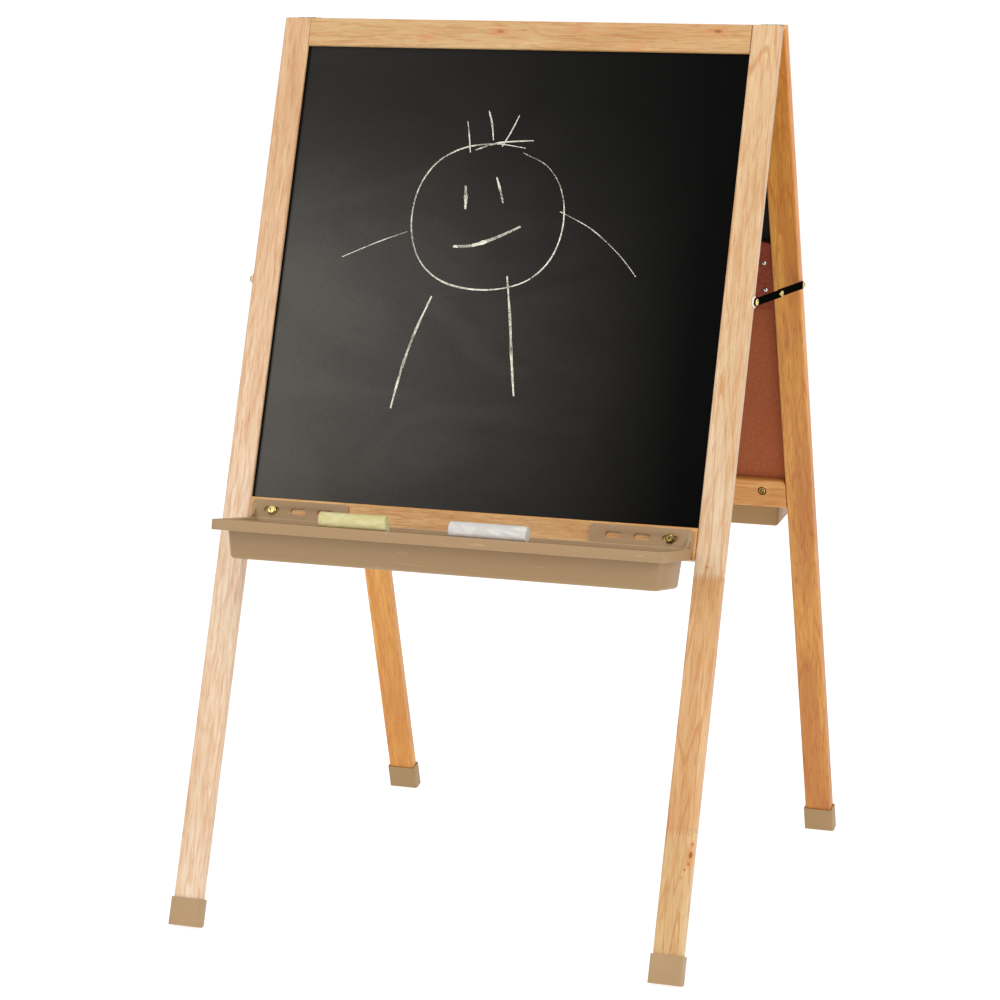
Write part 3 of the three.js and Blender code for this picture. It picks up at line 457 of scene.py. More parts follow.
# Painted shade: the back above the batten is painted near black.
shade_above_batten = maths(tree, "GREATER_THAN", axes.outputs["Z"], BATTEN_TOP_Z)
back_colour = blend(tree, shade_above_batten, back.outputs["Color"], srgb(22, 20, 19))
smears = between(tree, stretched_noise(tree, vector, (3, 3, 14), 4.0, 1.0), 0.5, 0.8)
white = blend(tree, times(tree, smears, 0.25), srgb(243, 243, 240), srgb(214, 218, 222))
finished(tree, shader, blend(tree, is_back, white, back_colour), between(tree, is_back, 0.0, 1.0, 0.12, 0.95),
         times(tree, back.outputs["Height"], is_back), FIBRE_DEPTH)
paint("dry_erase_board", made)

made, tree, shader = material_of("batten_board")
vector = laid_along(tree, SIDE["rear"].inverted(), (2, 0, 0))
batten = put_in(tree, board_fibre, Vector=vector, Brown=srgb(134, 56, 32))
finished(tree, shader, batten.outputs["Color"], 0.62, batten.outputs["Height"], FIBRE_DEPTH, specular=0.2)
paint("rear_slat", made)

# ---- Trays -----------------------------------------------------------------------------------------
# One injection moulding each, tan plastic about 2 mm thick: a flat rim with a skirt, a tapered tub with round
# corners, a channel for chalk along the front, and two slotted tabs with gussets that lie against the rail.
MM = Matrix.Scale(0.001, 4)
FACE_Y = -18.2  # a frame's outer face, in millimetres from the hinge pin in the frame's own axes
BOARD_LOW_Z = -607.6
WALL = 2.2
TRAY_HALF = 281
TRAY_REACH = 114
SKIRT = 12.5
RIM_Z = BOARD_LOW_Z - 26
PLATE_Y = FACE_Y - 0.3  # back of the tabs
TILT = math.radians(10)
TRAY_FRAME = Matrix.Translation((0, PLATE_Y - WALL, RIM_Z)) @ Matrix.Rotation(TILT, 4, "X")
TUB_DEPTH = 44.8  # inside
MOUTH = {"x": 269.8, "back": -2.2, "front": -88.8}
TUB_FLOOR = {"x": 265.8, "back": -4.2, "front": -81.8}
CHANNEL_Y, CHANNEL_HALF = -102, 258
CHANNEL_DIPS = {3: 0.0, 4: 1.36, 5: 1.8, 6: 1.36, 7: 0.0}
TAB_FOOT_X, TAB_TOP_Z = 154, BOARD_LOW_Z - 3
SLOT_Z = BOARD_LOW_Z - 15.5
BOLT_X = 253.6
SLOT_PITCH, SLOT_LONG, SLOT_HIGH = 34.8, 21, 7.4
GUSSET_X, GUSSET_REACH, GUSSET_RISE, GUSSET_THICK = 276.6, 15, 22, 2.2
TUB_CORNER, TUB_FLOOR_ROUND, SKIRT_CORNER, RIM_ROUND = 2.6, 5.5, 3, 1.1
TAB_CORNER, LIP_ROUND = 5, 0.45


def verts_of(geom):
    return [part for part in geom if isinstance(part, bmesh.types.BMVert)]


def thickened(bm, by):
    """Draws every face of a flat sheet out by that much."""
    drawn = bmesh.ops.extrude_face_region(bm, geom=bm.faces[:])["geom"]
    bmesh.ops.translate(bm, vec=by, verts=verts_of(drawn))


def corners_cut(bm, corners, radius, segments):
    bmesh.ops.bevel(bm, geom=corners, offset=radius, segments=segments, affect="VERTICES", profile=0.5,
                    material=-1)


def sharp_edges(bm, at_least=0.5):
    return [e for e in bm.edges if len(e.link_faces) == 2 and e.calc_face_angle(0) > at_least]


def rounded(bm, edges, offset, segments=3):
    bmesh.ops.bevel(bm, geom=list(edges), offset=offset, segments=segments, affect="EDGES", profile=0.5,
                    material=-1, clamp_overlap=True)


def piece(name, bm, body, material, stands_for=(), place=None, smooth_to=40):
    """Finishes a mesh: put in its place, merged, faces outward, smooth but for its edges, riding on its body."""
    if place is not None:
        bmesh.ops.transform(bm, matrix=place, verts=bm.verts)
    bmesh.ops.remove_doubles(bm, verts=bm.verts, dist=2e-6)
    bmesh.ops.recalc_face_normals(bm, faces=bm.faces)
    mesh = bpy.data.meshes.new(name)
    bm.to_mesh(mesh)
    bm.free()
    mesh.shade_smooth()
    mesh.set_sharp_from_angle(angle=math.radians(smooth_to))
    mesh.materials.append(material)
    made = bpy.data.objects.new(name, mesh)
    bpy.context.collection.objects.link(made)
    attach(made, body)
    if stands_for:
        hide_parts(*stands_for)
    return made


def tray_shell():
    """The inside and top of the rim, channel and tub as one skin, then given its wall."""
    xs = [-TRAY_HALF, -MOUTH["x"], -CHANNEL_HALF, CHANNEL_HALF, MOUTH["x"], TRAY_HALF]
    ys = [0.4, MOUTH["back"], MOUTH["front"], CHANNEL_Y + 5.66, CHANNEL_Y + 2.9, CHANNEL_Y, CHANNEL_Y - 2.9,
          CHANNEL_Y - 5.66, -TRAY_REACH]
    bm = bmesh.new()
    bmesh.ops.create_grid(bm, x_segments=len(xs) - 1, y_segments=len(ys) - 1, size=1)
    for v in bm.verts:
        i = round((v.co.x + 1) / 2 * (len(xs) - 1))
        j = round((1 - v.co.y) / 2 * (len(ys) - 1))
        dip = CHANNEL_DIPS.get(j, 0.0) if i in (2, 3) else 0.0
        v.co = (xs[i], ys[j], -dip)
    mouth = []
    for face in bm.faces:
        middle = face.calc_center_median()
        if abs(middle.x) < MOUTH["x"] and MOUTH["front"] < middle.y < MOUTH["back"]:
            mouth.append(face)
    pushed = bmesh.ops.extrude_face_region(bm, geom=mouth)["geom"]
    bmesh.ops.delete(bm, geom=[f for f in mouth if f.is_valid], context="FACES_ONLY")
    for v in verts_of(pushed):
        v.co.x *= TUB_FLOOR["x"] / MOUTH["x"]
        v.co.y = TUB_FLOOR["back"] if v.co.y > -40 else TUB_FLOOR["front"]
        v.co.z = -TUB_DEPTH
    outer = [e for e in bm.edges if e.is_boundary and (all(abs(v.co.x) > TRAY_HALF - 0.1 for v in e.verts)
                                                       or all(v.co.y < 0.1 - TRAY_REACH for v in e.verts))]
    skirt = bmesh.ops.extrude_edge_only(bm, edges=outer)["geom"]
    for v in verts_of(skirt):
        v.co.z -= SKIRT
    rim_up = next(f for f in bm.faces if f.calc_center_median().y > -2)
    bmesh.ops.recalc_face_normals(bm, faces=bm.faces)
    if rim_up.normal.z < 0:
        bmesh.ops.reverse_faces(bm, faces=bm.faces)
    upright = [e for e in bm.edges if abs(e.verts[0].co.z - e.verts[1].co.z) > 10]
    tub_corners = [e for e in upright if all(abs(v.co.x) < TRAY_HALF - 1 and abs(v.co.x) > CHANNEL_HALF + 1
                                             for v in e.verts) and abs(e.verts[0].co.z - e.verts[1].co.z) > 40]
    rounded(bm, tub_corners, TUB_CORNER, 4)
    skirt_corners = [e for e in bm.edges if abs(e.verts[0].co.z - e.verts[1].co.z) > 10
                     and all(abs(v.co.x) > TRAY_HALF - 0.1 and v.co.y < 0.1 - TRAY_REACH for v in e.verts)]
    rounded(bm, skirt_corners, SKIRT_CORNER, 3)
    floor_edges = [e for e in sharp_edges(bm) if all(v.co.z < 0.1 - TUB_DEPTH for v in e.verts)]
    rounded(bm, floor_edges, TUB_FLOOR_ROUND, 5)
    rim_edges = [e for e in sharp_edges(bm) if all(v.co.z > -0.1 for v in e.verts)]
    rounded(bm, rim_edges, RIM_ROUND, 2)
    bmesh.ops.solidify(bm, geom=bm.faces[:], thickness=WALL)
    bmesh.ops.transform(bm, matrix=TRAY_FRAME, verts=bm.verts)
    return bm


def tray_plate():
    """The back strip with its two tabs, standing against the rail, and the three slots of each tab."""
    bm = bmesh.new()
    half, low, foot, top = TRAY_HALF, RIM_Z - SKIRT, RIM_Z + 0.5, TAB_TOP_Z
    outline = [(-half, low), (half, low), (half, top), (TAB_FOOT_X, top), (TAB_FOOT_X, foot),
               (-TAB_FOOT_X, foot), (-TAB_FOOT_X, top), (-half, top)]
    corners = [bm.verts.new((x, PLATE_Y, z)) for x, z in outline]
    bm.faces.new(corners)
    corners_cut(bm, [v for v in corners if v.co.z > foot + 1], TAB_CORNER, 5)
    for side in (-1, 1):
        for place in range(3):
            x = side * (BOLT_X - place * SLOT_PITCH)
            ends = [bm.verts.new((x + a * SLOT_LONG / 2, PLATE_Y, SLOT_Z + b * SLOT_HIGH / 2))
                    for a, b in ((-1, -1), (1, -1), (1, 1), (-1, 1))]
            bm.faces.new(ends)
            corners_cut(bm, ends, SLOT_HIGH / 2 - 0.05, 5)
    bmesh.ops.delete(bm, geom=bm.faces[:], context="FACES_ONLY")
    bmesh.ops.triangle_fill(bm, use_beauty=True, edges=bm.edges[:])
    thickened(bm, (0, -WALL, 0))
    bmesh.ops.recalc_face_normals(bm, faces=bm.faces)
    lips = [e for e in sharp_edges(bm, 1.2) if all(v.co.y < PLATE_Y - WALL + 0.1 for v in e.verts)]
    rounded(bm, lips, LIP_ROUND, 2)
    return bm


def tray_gusset(side):
    """A web between tab and rim, its front edge scooped out."""
    bm = bmesh.new()
    foot = PLATE_Y - WALL + 0.4
    under = RIM_Z - WALL / 2
    profile = [(foot, RIM_Z + GUSSET_RISE), (foot, under),
               (foot - GUSSET_REACH, under - GUSSET_REACH * math.tan(TILT))]
    for turn in range(1, 8):
        t = math.radians(90 - turn * 90 / 8)
        profile.append((foot - GUSSET_REACH * (1 - math.cos(t)), RIM_Z + GUSSET_RISE * (1 - math.sin(t)) - 0.6))
    corners = [bm.verts.new((side * GUSSET_X - GUSSET_THICK / 2, y, z)) for y, z in profile]
    bm.faces.new(corners)
    thickened(bm, (GUSSET_THICK, 0, 0))
    bmesh.ops.recalc_face_normals(bm, faces=bm.faces)
    return bm


def gathered(*parts):
    """Several shapes as one mesh."""
    whole = bmesh.new()
    for part in parts:
        holder = bpy.data.meshes.new("holder")
        part.to_mesh(holder)
        part.free()
        whole.from_mesh(holder)
        bpy.data.meshes.remove(holder)
    return whole


# Painted highlight on raised edges, where the surface turns away within the radius. The black paint also
# uses it for paint chipped at its edges.
edge_wear_and_highlight, given, result = group_of("edge_wear_and_highlight", [("Radius", "Float", 0.001)], [("Mask", "Float")])
tree = edge_wear_and_highlight
soft_corner = node(tree, "Bevel")
soft_corner.samples = 4
tree.links.new(given.outputs["Radius"], soft_corner.inputs["Radius"])
facing = node(tree, "NewGeometry")
match = node(tree, "VectorMath", operation="DOT_PRODUCT")
tree.links.new(soft_corner.outputs["Normal"], match.inputs[0])
tree.links.new(facing.outputs["Normal"], match.inputs[1])
tree.links.new(between(tree, match.outputs["Value"], 0.99, 0.85), result.inputs["Mask"])

moulded, given, result = group_of(
    "moulded_plastic",
    [("Vector", "Vector", None), ("Tan", "Color", (0.5, 0.4, 0.25, 1)), ("Worn", "Color", (0.7, 0.6, 0.45, 1)),
     ("Edge", "Float", 0.0)],
    [("Color", "Color"), ("Roughness", "Float"), ("Height", "Float")],
)
tree = moulded
where = given.outputs["Vector"]
skin = stretched_noise(tree, where, (1400, 1400, 1400), 2.0)
flow = between(tree, stretched_noise(tree, where, (5, 16, 16), 3.0, 0.8), 0.3, 0.75)
rubs = between(tree, stretched_noise(tree, where, (30, 210, 210), 4.0, 0.5), 0.62, 0.74)
tan = blend(tree, times(tree, flow, 0.30), given.outputs["Tan"], srgb(160, 126, 88))
tan = blend(tree, times(tree, rubs, 0.22), tan, given.outputs["Worn"])
# Painted highlight: edges lightened towards the rubbed colour.
tan = blend(tree, times(tree, given.outputs["Edge"], 0.75), tan, given.outputs["Worn"])
tree.links.new(tan, result.inputs["Color"])
shine = maths(tree, "ADD", between(tree, flow, 0.0, 1.0, 0.40, 0.48), times(tree, rubs, 0.12))
tree.links.new(shine, result.inputs["Roughness"])
tree.links.new(skin, result.inputs["Height"])


def plastic(name, tan, worn, shift, edge):
    made, tree, shader = material_of(name)
    edges = put_in(tree, edge_wear_and_highlight, Radius=edge)
    skin = put_in(tree, moulded, Vector=laid_along(tree, Matrix.Identity(4), shift), Tan=tan, Worn=worn,
                  Edge=edges.outputs["Mask"])
    finished(tree, shader, skin.outputs["Color"], skin.outputs["Roughness"], skin.outputs["Height"], 0.00004,
             specular=0.32)
    return made


EDGE_HIGHLIGHT_RADIUS = 0.0008
# Painted shade: the rear tray is the front's plastic, painted darker and more orange for the shade between the
# frames.
TRAY_TANS = {"front": (srgb(160, 130, 94), srgb(212, 186, 154)),
             "rear": (srgb(158, 124, 80), srgb(190, 158, 116))}
for side in ("front", "rear"):
    tan_plastic = plastic(side + "_tray_plastic", *TRAY_TANS[side], (0.4, 0, 0), EDGE_HIGHLIGHT_RADIUS)
    piece(side + "_tray_moulding", gathered(tray_shell(), tray_plate(), tray_gusset(-1), tray_gusset(1)),
          side + "_frame", tan_plastic, [side + "_tray"], SIDE[side] @ MM)

# ---- Boots -----------------------------------------------------------------------------------------
# Moulded tan plastic cups about 2 mm thick, pushed over the leg ends and held by their tight fit. Their lower
# corner is cut off level, so that each boot stands flat on the floor.
LEG_X, LEG_Y = 302.5, -10.45
BOOT_WIDE, BOOT_DEEP, BOOT_HIGH = 39.2, 19.7, 34
BOOT_END_Z = -1134.9
BOOT_CORNER, BOOT_WALL, BOOT_SOLE, BOOT_LIP = 2.0, 1.8, 4, 0.5
# Painted shade: the rear boots are the same plastic as the front ones, painted darker.
BOOT_TANS = {"front": srgb(171, 141, 102), "rear": srgb(163, 133, 92)}
BOOT_RUBS_AND_HIGHLIGHT = srgb(200, 174, 134)


def sawn(bm, dist, **plane):
    """Saws off one side of a plane and closes the cut."""
    whole = bm.verts[:] + bm.edges[:] + bm.faces[:]
    cut = bmesh.ops.bisect_plane(bm, geom=whole, dist=dist, **plane)["geom_cut"]
    bmesh.ops.holes_fill(bm, edges=[part for part in cut if isinstance(part, bmesh.types.BMEdge)])


for side in ("front", "rear"):
    boot_plastic = plastic(side + "_boot_plastic", BOOT_TANS[side], BOOT_RUBS_AND_HIGHLIGHT, (0, 0.7, 0), EDGE_HIGHLIGHT_RADIUS)
    for hand in ("left", "right"):
        x = LEG_X * (1 if hand == "right" else -1) * (1 if side == "front" else -1)
        bm = bmesh.new()
        bmesh.ops.create_cube(bm, size=1)
        bmesh.ops.scale(bm, vec=(BOOT_WIDE, BOOT_DEEP, BOOT_HIGH), verts=bm.verts)
        rounded(bm, [e for e in bm.edges if abs(e.verts[0].co.z - e.verts[1].co.z) > 1], BOOT_CORNER, 4)
        lip = [f for f in bm.faces if f.normal.z > 0.9]
        bmesh.ops.inset_region(bm, faces=lip, thickness=BOOT_WALL, use_even_offset=True)
        pocket = bmesh.ops.extrude_face_region(bm, geom=lip)["geom"]
        bmesh.ops.delete(bm, geom=[f for f in lip if f.is_valid], context="FACES_ONLY")
        bmesh.ops.translate(bm, vec=(0, 0, BOOT_SOLE - BOOT_HIGH), verts=verts_of(pocket))
        bmesh.ops.recalc_face_normals(bm, faces=bm.faces)
        mouth = [e for e in sharp_edges(bm, 1.2) if all(v.co.z > BOOT_HIGH / 2 - 0.1 for v in e.verts)]
        rounded(bm, mouth, BOOT_LIP, 2)
        bmesh.ops.translate(bm, vec=(x, LEG_Y, BOOT_END_Z + BOOT_HIGH / 2), verts=bm.verts)
        bmesh.ops.transform(bm, matrix=SIDE[side] @ MM, verts=bm.verts)
        sawn(bm, 1e-7, plane_co=(0, 0, 0), plane_no=(0, 0, 1), clear_inner=True)
        piece(f"{side}_{hand}_boot_cup", bm, side + "_frame", boot_plastic,
              [f"{side}_{hand}_boot"])

# ---- Tray bolts and sleeve nuts --------------------------------------------------------------------
# Steel bolts with button heads and hexagon sockets, yellow passivated, through the outermost slot of each tab.
# Each screws into a plated sleeve nut sunk in the rail's inner face. A thin black ring round it is painted
# shade, for the shadow in the gap of its recess.
INNER_Y = -2.7  # a frame's inner face
SOCKET_RADIUS = 2.1


def turned(profile, steps=32):
    """A closed round piece about Z from (radius, height) points that start and end on the axis."""
    bm = bmesh.new()
    points = [bm.verts.new((radius, 0, height)) for radius, height in profile]
    lines = [bm.edges.new(pair) for pair in zip(points, points[1:])]
    bmesh.ops.spin(bm, geom=points + lines, cent=(0, 0, 0), axis=(0, 0, 1), angle=2 * math.pi, steps=steps,
                   use_merge=True)
    bmesh.ops.remove_doubles(bm, verts=bm.verts, dist=1e-3)
    bmesh.ops.recalc_face_normals(bm, faces=bm.faces)
    return bm


def hexagonal(bm, radius):
    """Draws the turned wall of a socket of that radius into six flats."""
    for v in bm.verts:
        out = math.hypot(v.co.x, v.co.y)
        if 0.1 < out < radius + 0.05 and v.co.z > 0.2:
            turn = (math.atan2(v.co.y, v.co.x) % math.radians(60)) - math.radians(30)
            flat = radius * math.cos(math.radians(30)) / math.cos(turn)
            v.co.x *= flat / out
            v.co.y *= flat / out


plated, given, result = group_of(
    "plated_metal",
    [("Vector", "Vector", None), ("Bright", "Color", (0.7, 0.6, 0.3, 1)),
     ("Dull", "Color", (0.4, 0.35, 0.2, 1))],
    [("Color", "Color"), ("Roughness", "Float"), ("Height", "Float")],
)
tree = plated
where = given.outputs["Vector"]
bloom = between(tree, stretched_noise(tree, where, (260, 260, 260), 4.0, 0.7), 0.35, 0.7)
brushing = stretched_noise(tree, where, (300, 3000, 3000), 3.0)
metal = blend(tree, bloom, given.outputs["Bright"], given.outputs["Dull"])
tree.links.new(metal, result.inputs["Color"])
tree.links.new(between(tree, bloom, 0.0, 1.0, 0.22, 0.42), result.inputs["Roughness"])
tree.links.new(brushing, result.inputs["Height"])


def plating(name, bright, dull, shift=(0, 0, 0)):
    made, tree, shader = material_of(name)
    shader.inputs["Metallic"].default_value = 1
    skin = put_in(tree, plated, Vector=laid_along(tree, Matrix.Identity(4), shift), Bright=bright, Dull=dull)
    finished(tree, shader, skin.outputs["Color"], skin.outputs["Roughness"], skin.outputs["Height"], 0.00002)
    return made


yellow_plating = plating("yellow_plating", srgb(236, 222, 150), srgb(176, 152, 82))
# Painted reflection: a darker copy of the yellow plating for the right-hand bolts, for the dark surroundings
# they reflect.
dark_reflection_plating = plating("dark_reflection_plating", srgb(150, 130, 70), srgb(66, 52, 28), (0.2, 0, 0))
nut_plating = plating("nut_plating", srgb(200, 166, 100), srgb(120, 82, 38), (0.4, 0, 0))
# Painted shade: a near-black finish for the ring that stands for the shadow round each sleeve nut.
gap_shadow_black = plating("gap_shadow_black_ring", srgb(42, 34, 26), srgb(24, 18, 14), (0.5, 0, 0))
BOLT_PROFILE = [(0, -6.2), (2.9, -6.2), (2.9, 0.3), (5.7, 0.3), (5.75, 0.9), (5.5, 1.6), (4.9, 2.3), (4.0, 2.75),
                (3.0, 2.9), (2.3, 2.85), (SOCKET_RADIUS, 2.6), (SOCKET_RADIUS, 1.2), (0, 1.0)]
NUT_PROFILE = [(0, -9), (3.7, -9), (3.7, -1.6), (4.3, -1.4), (4.3, -0.3), (4.1, -0.1), (2.9, -0.1), (2.7, -0.3),
               (2.7, -3.6), (1.5, -3.6), (1.5, -0.6), (1.3, -0.4), (0.7, -0.4), (0.5, -0.9), (0, -0.9)]
NUT_GAP_SHADOW = [(4.35, -1.3), (5.6, -1.3), (5.6, -0.5), (4.35, -0.5), (4.35, -1.3)]
FACE_OUT = Matrix.Rotation(math.radians(90), 4, "X")
FACE_IN = Matrix.Rotation(math.radians(-90), 4, "X")
for side in ("front", "rear"):
    for hand in ("left", "right"):
        x = BOLT_X * (1 if hand == "right" else -1) * (1 if side == "front" else -1)
        bolt = turned(BOLT_PROFILE)
        hexagonal(bolt, SOCKET_RADIUS)
        at = Matrix.Translation((x, PLATE_Y - WALL, SLOT_Z)) @ FACE_OUT
        piece(f"{side}_{hand}_tray_bolt_button", bolt, side + "_frame",
              dark_reflection_plating if hand == "right" else yellow_plating,
              [f"{side}_tray_{hand}_bolt"], SIDE[side] @ MM @ at)
        at = Matrix.Translation((x, INNER_Y - 0.3, SLOT_Z)) @ FACE_IN
        piece(f"{side}_{hand}_tray_sleeve", turned(NUT_PROFILE), side + "_frame", nut_plating,
              [f"{side}_tray_{hand}_sleeve_nut"], SIDE[side] @ MM @ at)
        # Painted shade: a black ring for the shadow in the gap round the nut.
        piece(f"{side}_{hand}_sleeve_gap_shadow", turned(NUT_GAP_SHADOW), side + "_frame", gap_shadow_black, (),
              SIDE[side] @ MM @ at)

# ---- Top hinges and small screws -------------------------------------------------------------------
# Zinc-plated steel hinges on the leg ends: thin screwed leaves, and three knuckles round a riveted pin. The
# batten's four pan-head screws are bright zinc.
zinc_plating = plating("zinc_plating", srgb(186, 184, 160), srgb(120, 120, 96), (0.3, 0, 0))
bright_zinc = plating("bright_zinc", srgb(236, 236, 230), srgb(190, 192, 190), (0.6, 0, 0))
for name in nodes:
    if "_hinge_" in name:
        paint(name, zinc_plating)
SLAT_SCREW = [(0, -5.6), (1.2, -5.6), (1.2, -0.1), (2.5, 0.1), (2.6, 0.5), (2.2, 1.1), (1.4, 1.5), (0.8, 1.6),
              (0.6, 1.0), (0, 0.9)]
SLAT_FACE_Y = -4.9
for number, (x, z) in enumerate(((-275, -305.6), (-275, -341.6), (275, -305.6), (275, -341.6)), 1):
    at = Matrix.Translation((x, SLAT_FACE_Y, z)) @ FACE_IN
    piece(f"batten_screw_{number}", turned(SLAT_SCREW, 24), "rear_frame", bright_zinc,
          [f"rear_slat_screw_{number}"], SIDE["rear"] @ MM @ at)

# ---- Folding stays ---------------------------------------------------------------------------------
# Two flat black-painted steel links a side, round-ended, on brass-plated pan-head screws in the legs' edges,
# with a hollow rivet as the middle pivot. A nylon spacer keeps the front link in the outer layer, and the rear
# link's stud is nearly flush, because the front link folds over it.
STAY_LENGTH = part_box("right_stay_front_link")[1].y * 1000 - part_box("right_stay_front_link")[0].y * 1000
STAY_WIDE, STAY_THICK = 9.6, 1.5
made, tree, shader = material_of("black_paint")
vector = laid_along(tree, Matrix.Identity(4))
peel = stretched_noise(tree, vector, (500, 500, 500), 3.0)
# Paler along the edges in patches: chipped paint together with a painted edge highlight.
edges = put_in(tree, edge_wear_and_highlight, Radius=0.0006)
patchy = between(tree, stretched_noise(tree, vector, (180, 180, 180)), 0.5, 0.7)
chips_and_highlight = times(tree, edges.outputs["Mask"], patchy)
finished(tree, shader, blend(tree, chips_and_highlight, srgb(8, 8, 6), srgb(36, 34, 28)),
         between(tree, peel, 0.3, 0.7, 0.38, 0.52), peel, 0.00004, specular=0.0)
black_paint = made

made, tree, shader = material_of("nylon")
vector = laid_along(tree, Matrix.Identity(4))
milky = between(tree, stretched_noise(tree, vector, (220, 220, 220), 3.0), 0.3, 0.7)
finished(tree, shader, blend(tree, milky, srgb(238, 228, 210), srgb(222, 206, 182)),
         between(tree, milky, 0.0, 1.0, 0.38, 0.52))
shader.inputs["Subsurface Weight"].default_value = 0.15
shader.inputs["Subsurface Scale"].default_value = 0.001
nylon = made

PAN_HEAD = [(0, -19), (2.2, -19), (2.2, 0), (3.8, 0), (3.85, 0.7), (3.5, 1.4), (2.6, 1.9), (1.9, 2.05),
            (1.6, 1.3), (0, 1.2)]
RIVET = [(1.4, 0.3), (2.3, 0.3), (2.3, 1.8), (3.4, 1.8), (3.4, 3.0), (3.05, 3.8), (2.4, 4.1), (1.8, 3.9),
         (1.4, 3.2), (1.4, 0.3)]
STUDS = {"front": [(0, -0.4), (1.5, -0.4), (1.5, 0.8), (1.2, 1.5), (0.6, 1.8), (0, 1.85)],
         "rear": [(0, -0.4), (1.6, -0.4), (1.6, 0.1), (1.4, 0.25), (0, 0.3)]}
SPACER = [(2.5, 0), (7.0, 0), (7.2, 0.2), (7.2, 1.4), (7.0, 1.6), (2.5, 1.6), (2.5, 0)]
OUTER_LINK_X, INNER_LINK_X, SPACER_X = 322.2, 320.3, 320.3
STUD_REACH = 6.5  # from the middle pivot
for hand, sign in (("left", -1), ("right", 1)):
    outward = Matrix.Rotation(math.radians(90 * sign), 4, "Y")
    for end, link_x, toward in (("front", OUTER_LINK_X, -1), ("rear", INNER_LINK_X, 1)):
        low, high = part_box(f"{hand}_stay_{end}_link")
        middle = (low + high) / 2 * 1000
        pivot_y = toward * (STAY_LENGTH - STAY_WIDE)
        bm = bmesh.new()
        bmesh.ops.create_grid(bm, x_segments=1, y_segments=1, size=0.5)
        bmesh.ops.scale(bm, vec=(STAY_LENGTH, STAY_WIDE, 1), verts=bm.verts)
        corners_cut(bm, bm.verts[:], STAY_WIDE / 2 - 0.02, 8)
        thickened(bm, (0, 0, STAY_THICK))
        bmesh.ops.recalc_face_normals(bm, faces=bm.faces)
        rounded(bm, sharp_edges(bm, 1.2), 0.3, 2)
        stand = Matrix.Rotation(math.radians(90), 4, "Z") @ Matrix.Rotation(math.radians(90), 4, "X")
        side_x = sign * link_x if sign > 0 else sign * (link_x + STAY_THICK)
        at = Matrix.Translation((side_x, middle.y, middle.z)) @ stand
        piece(f"{hand}_{end}_stay_bar", bm, f"{hand}_{end}_link", black_paint,
              [f"{hand}_stay_{end}_link"], MM @ at)
        head_x = sign * (link_x + STAY_THICK + 0.3)
        at = Matrix.Translation((head_x, pivot_y, middle.z)) @ outward
        piece(f"{hand}_{end}_stay_pan_head", turned(PAN_HEAD), f"{end}_frame", yellow_plating,
              [f"{hand}_stay_{end}_screw"], MM @ at)
    middle_z = (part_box(f"{hand}_stay_middle_rivet")[0].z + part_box(f"{hand}_stay_middle_rivet")[1].z) * 500
    at = Matrix.Translation((sign * OUTER_LINK_X, 0, middle_z)) @ outward
    piece(f"{hand}_stay_hollow_rivet", turned(RIVET), f"{hand}_front_link", yellow_plating,
          [f"{hand}_stay_middle_rivet"], MM @ at)
    for end, link_x, reach in (("front", OUTER_LINK_X, -STUD_REACH), ("rear", INNER_LINK_X, STUD_REACH)):
        at = Matrix.Translation((sign * (link_x + STAY_THICK), reach, middle_z)) @ outward
        piece(f"{hand}_{end}_stay_stud", turned(STUDS[end], 20), f"{hand}_{end}_link",
              yellow_plating, (), MM @ at)
    at = Matrix.Translation((sign * SPACER_X, STAY_WIDE - STAY_LENGTH, middle_z)) @ outward
    piece(f"{hand}_stay_spacer", turned(SPACER), "front_frame", nylon,
          [f"{hand}_stay_front_washer"], MM @ at)

# ---- Chalks ----------------------------------------------------------------------------------------
# Two jumbo sticks of pressed chalk, loose in the tray's channel: a pale yellow one with an end worn aslant, and
# a white one. Their surface is slightly lumpy and pitted.
CHALK_RADIUS = 9.5
CHALK_SUNK = 1.5  # below the rim, in the channel
LUMPS, WORN_DEEP, CHALK_ROUND = 0.22, 3.2, 1.0
for name, x, length, worn, pale, dusty in (
    ("yellow", -102, 85, True, srgb(198, 190, 136), srgb(214, 206, 162)),
    ("white", 66, 95, False, srgb(196, 192, 187), srgb(211, 208, 203)),
):
    bm = bmesh.new()
    bmesh.ops.create_cone(bm, cap_ends=True, segments=56, radius1=CHALK_RADIUS, radius2=CHALK_RADIUS,
                          depth=length)
    bmesh.ops.subdivide_edges(bm, edges=[e for e in bm.edges if e.calc_length() > length / 2], cuts=26)
    if worn:
        sawn(bm, 1e-4, plane_co=(-CHALK_RADIUS, 0, length / 2 - WORN_DEEP), plane_no=(-0.20, 0.10, 0.97),
             clear_outer=True)
    rounded(bm, sharp_edges(bm, 0.45), CHALK_ROUND, 3)
    for v in bm.verts:
        v.co += v.co.normalized() * LUMPS * noise.noise(v.co * 0.22 + Vector((x, 0, 0)))
    made, tree, shader = material_of(name + "_chalk_dust")
    vector = laid_along(tree, Matrix.Identity(4))
    crumbs = stretched_noise(tree, vector, (900, 900, 900), 5.0)
    rubbed = between(tree, stretched_noise(tree, vector, (60, 160, 160), 4.0, 0.6), 0.4, 0.7)
    pits = between(tree, stretched_noise(tree, vector, (420, 420, 420), 2.0), 0.66, 0.74)
    chalky = blend(tree, rubbed, pale, dusty)
    chalky = blend(tree, times(tree, pits, 0.35), chalky, srgb(170, 160, 120))
    finished(tree, shader, chalky, 0.95, maths(tree, "SUBTRACT", crumbs, pits), 0.0003, specular=0.15)
    lying = TRAY_FRAME @ Matrix.Translation((x, CHANNEL_Y, CHALK_RADIUS - CHALK_SUNK)) @ ALONG_LEG
    piece(name + "_chalk_stick", bm, name + "_chalk", made, [name + "_chalk"],
          SIDE["front"] @ MM @ lying)

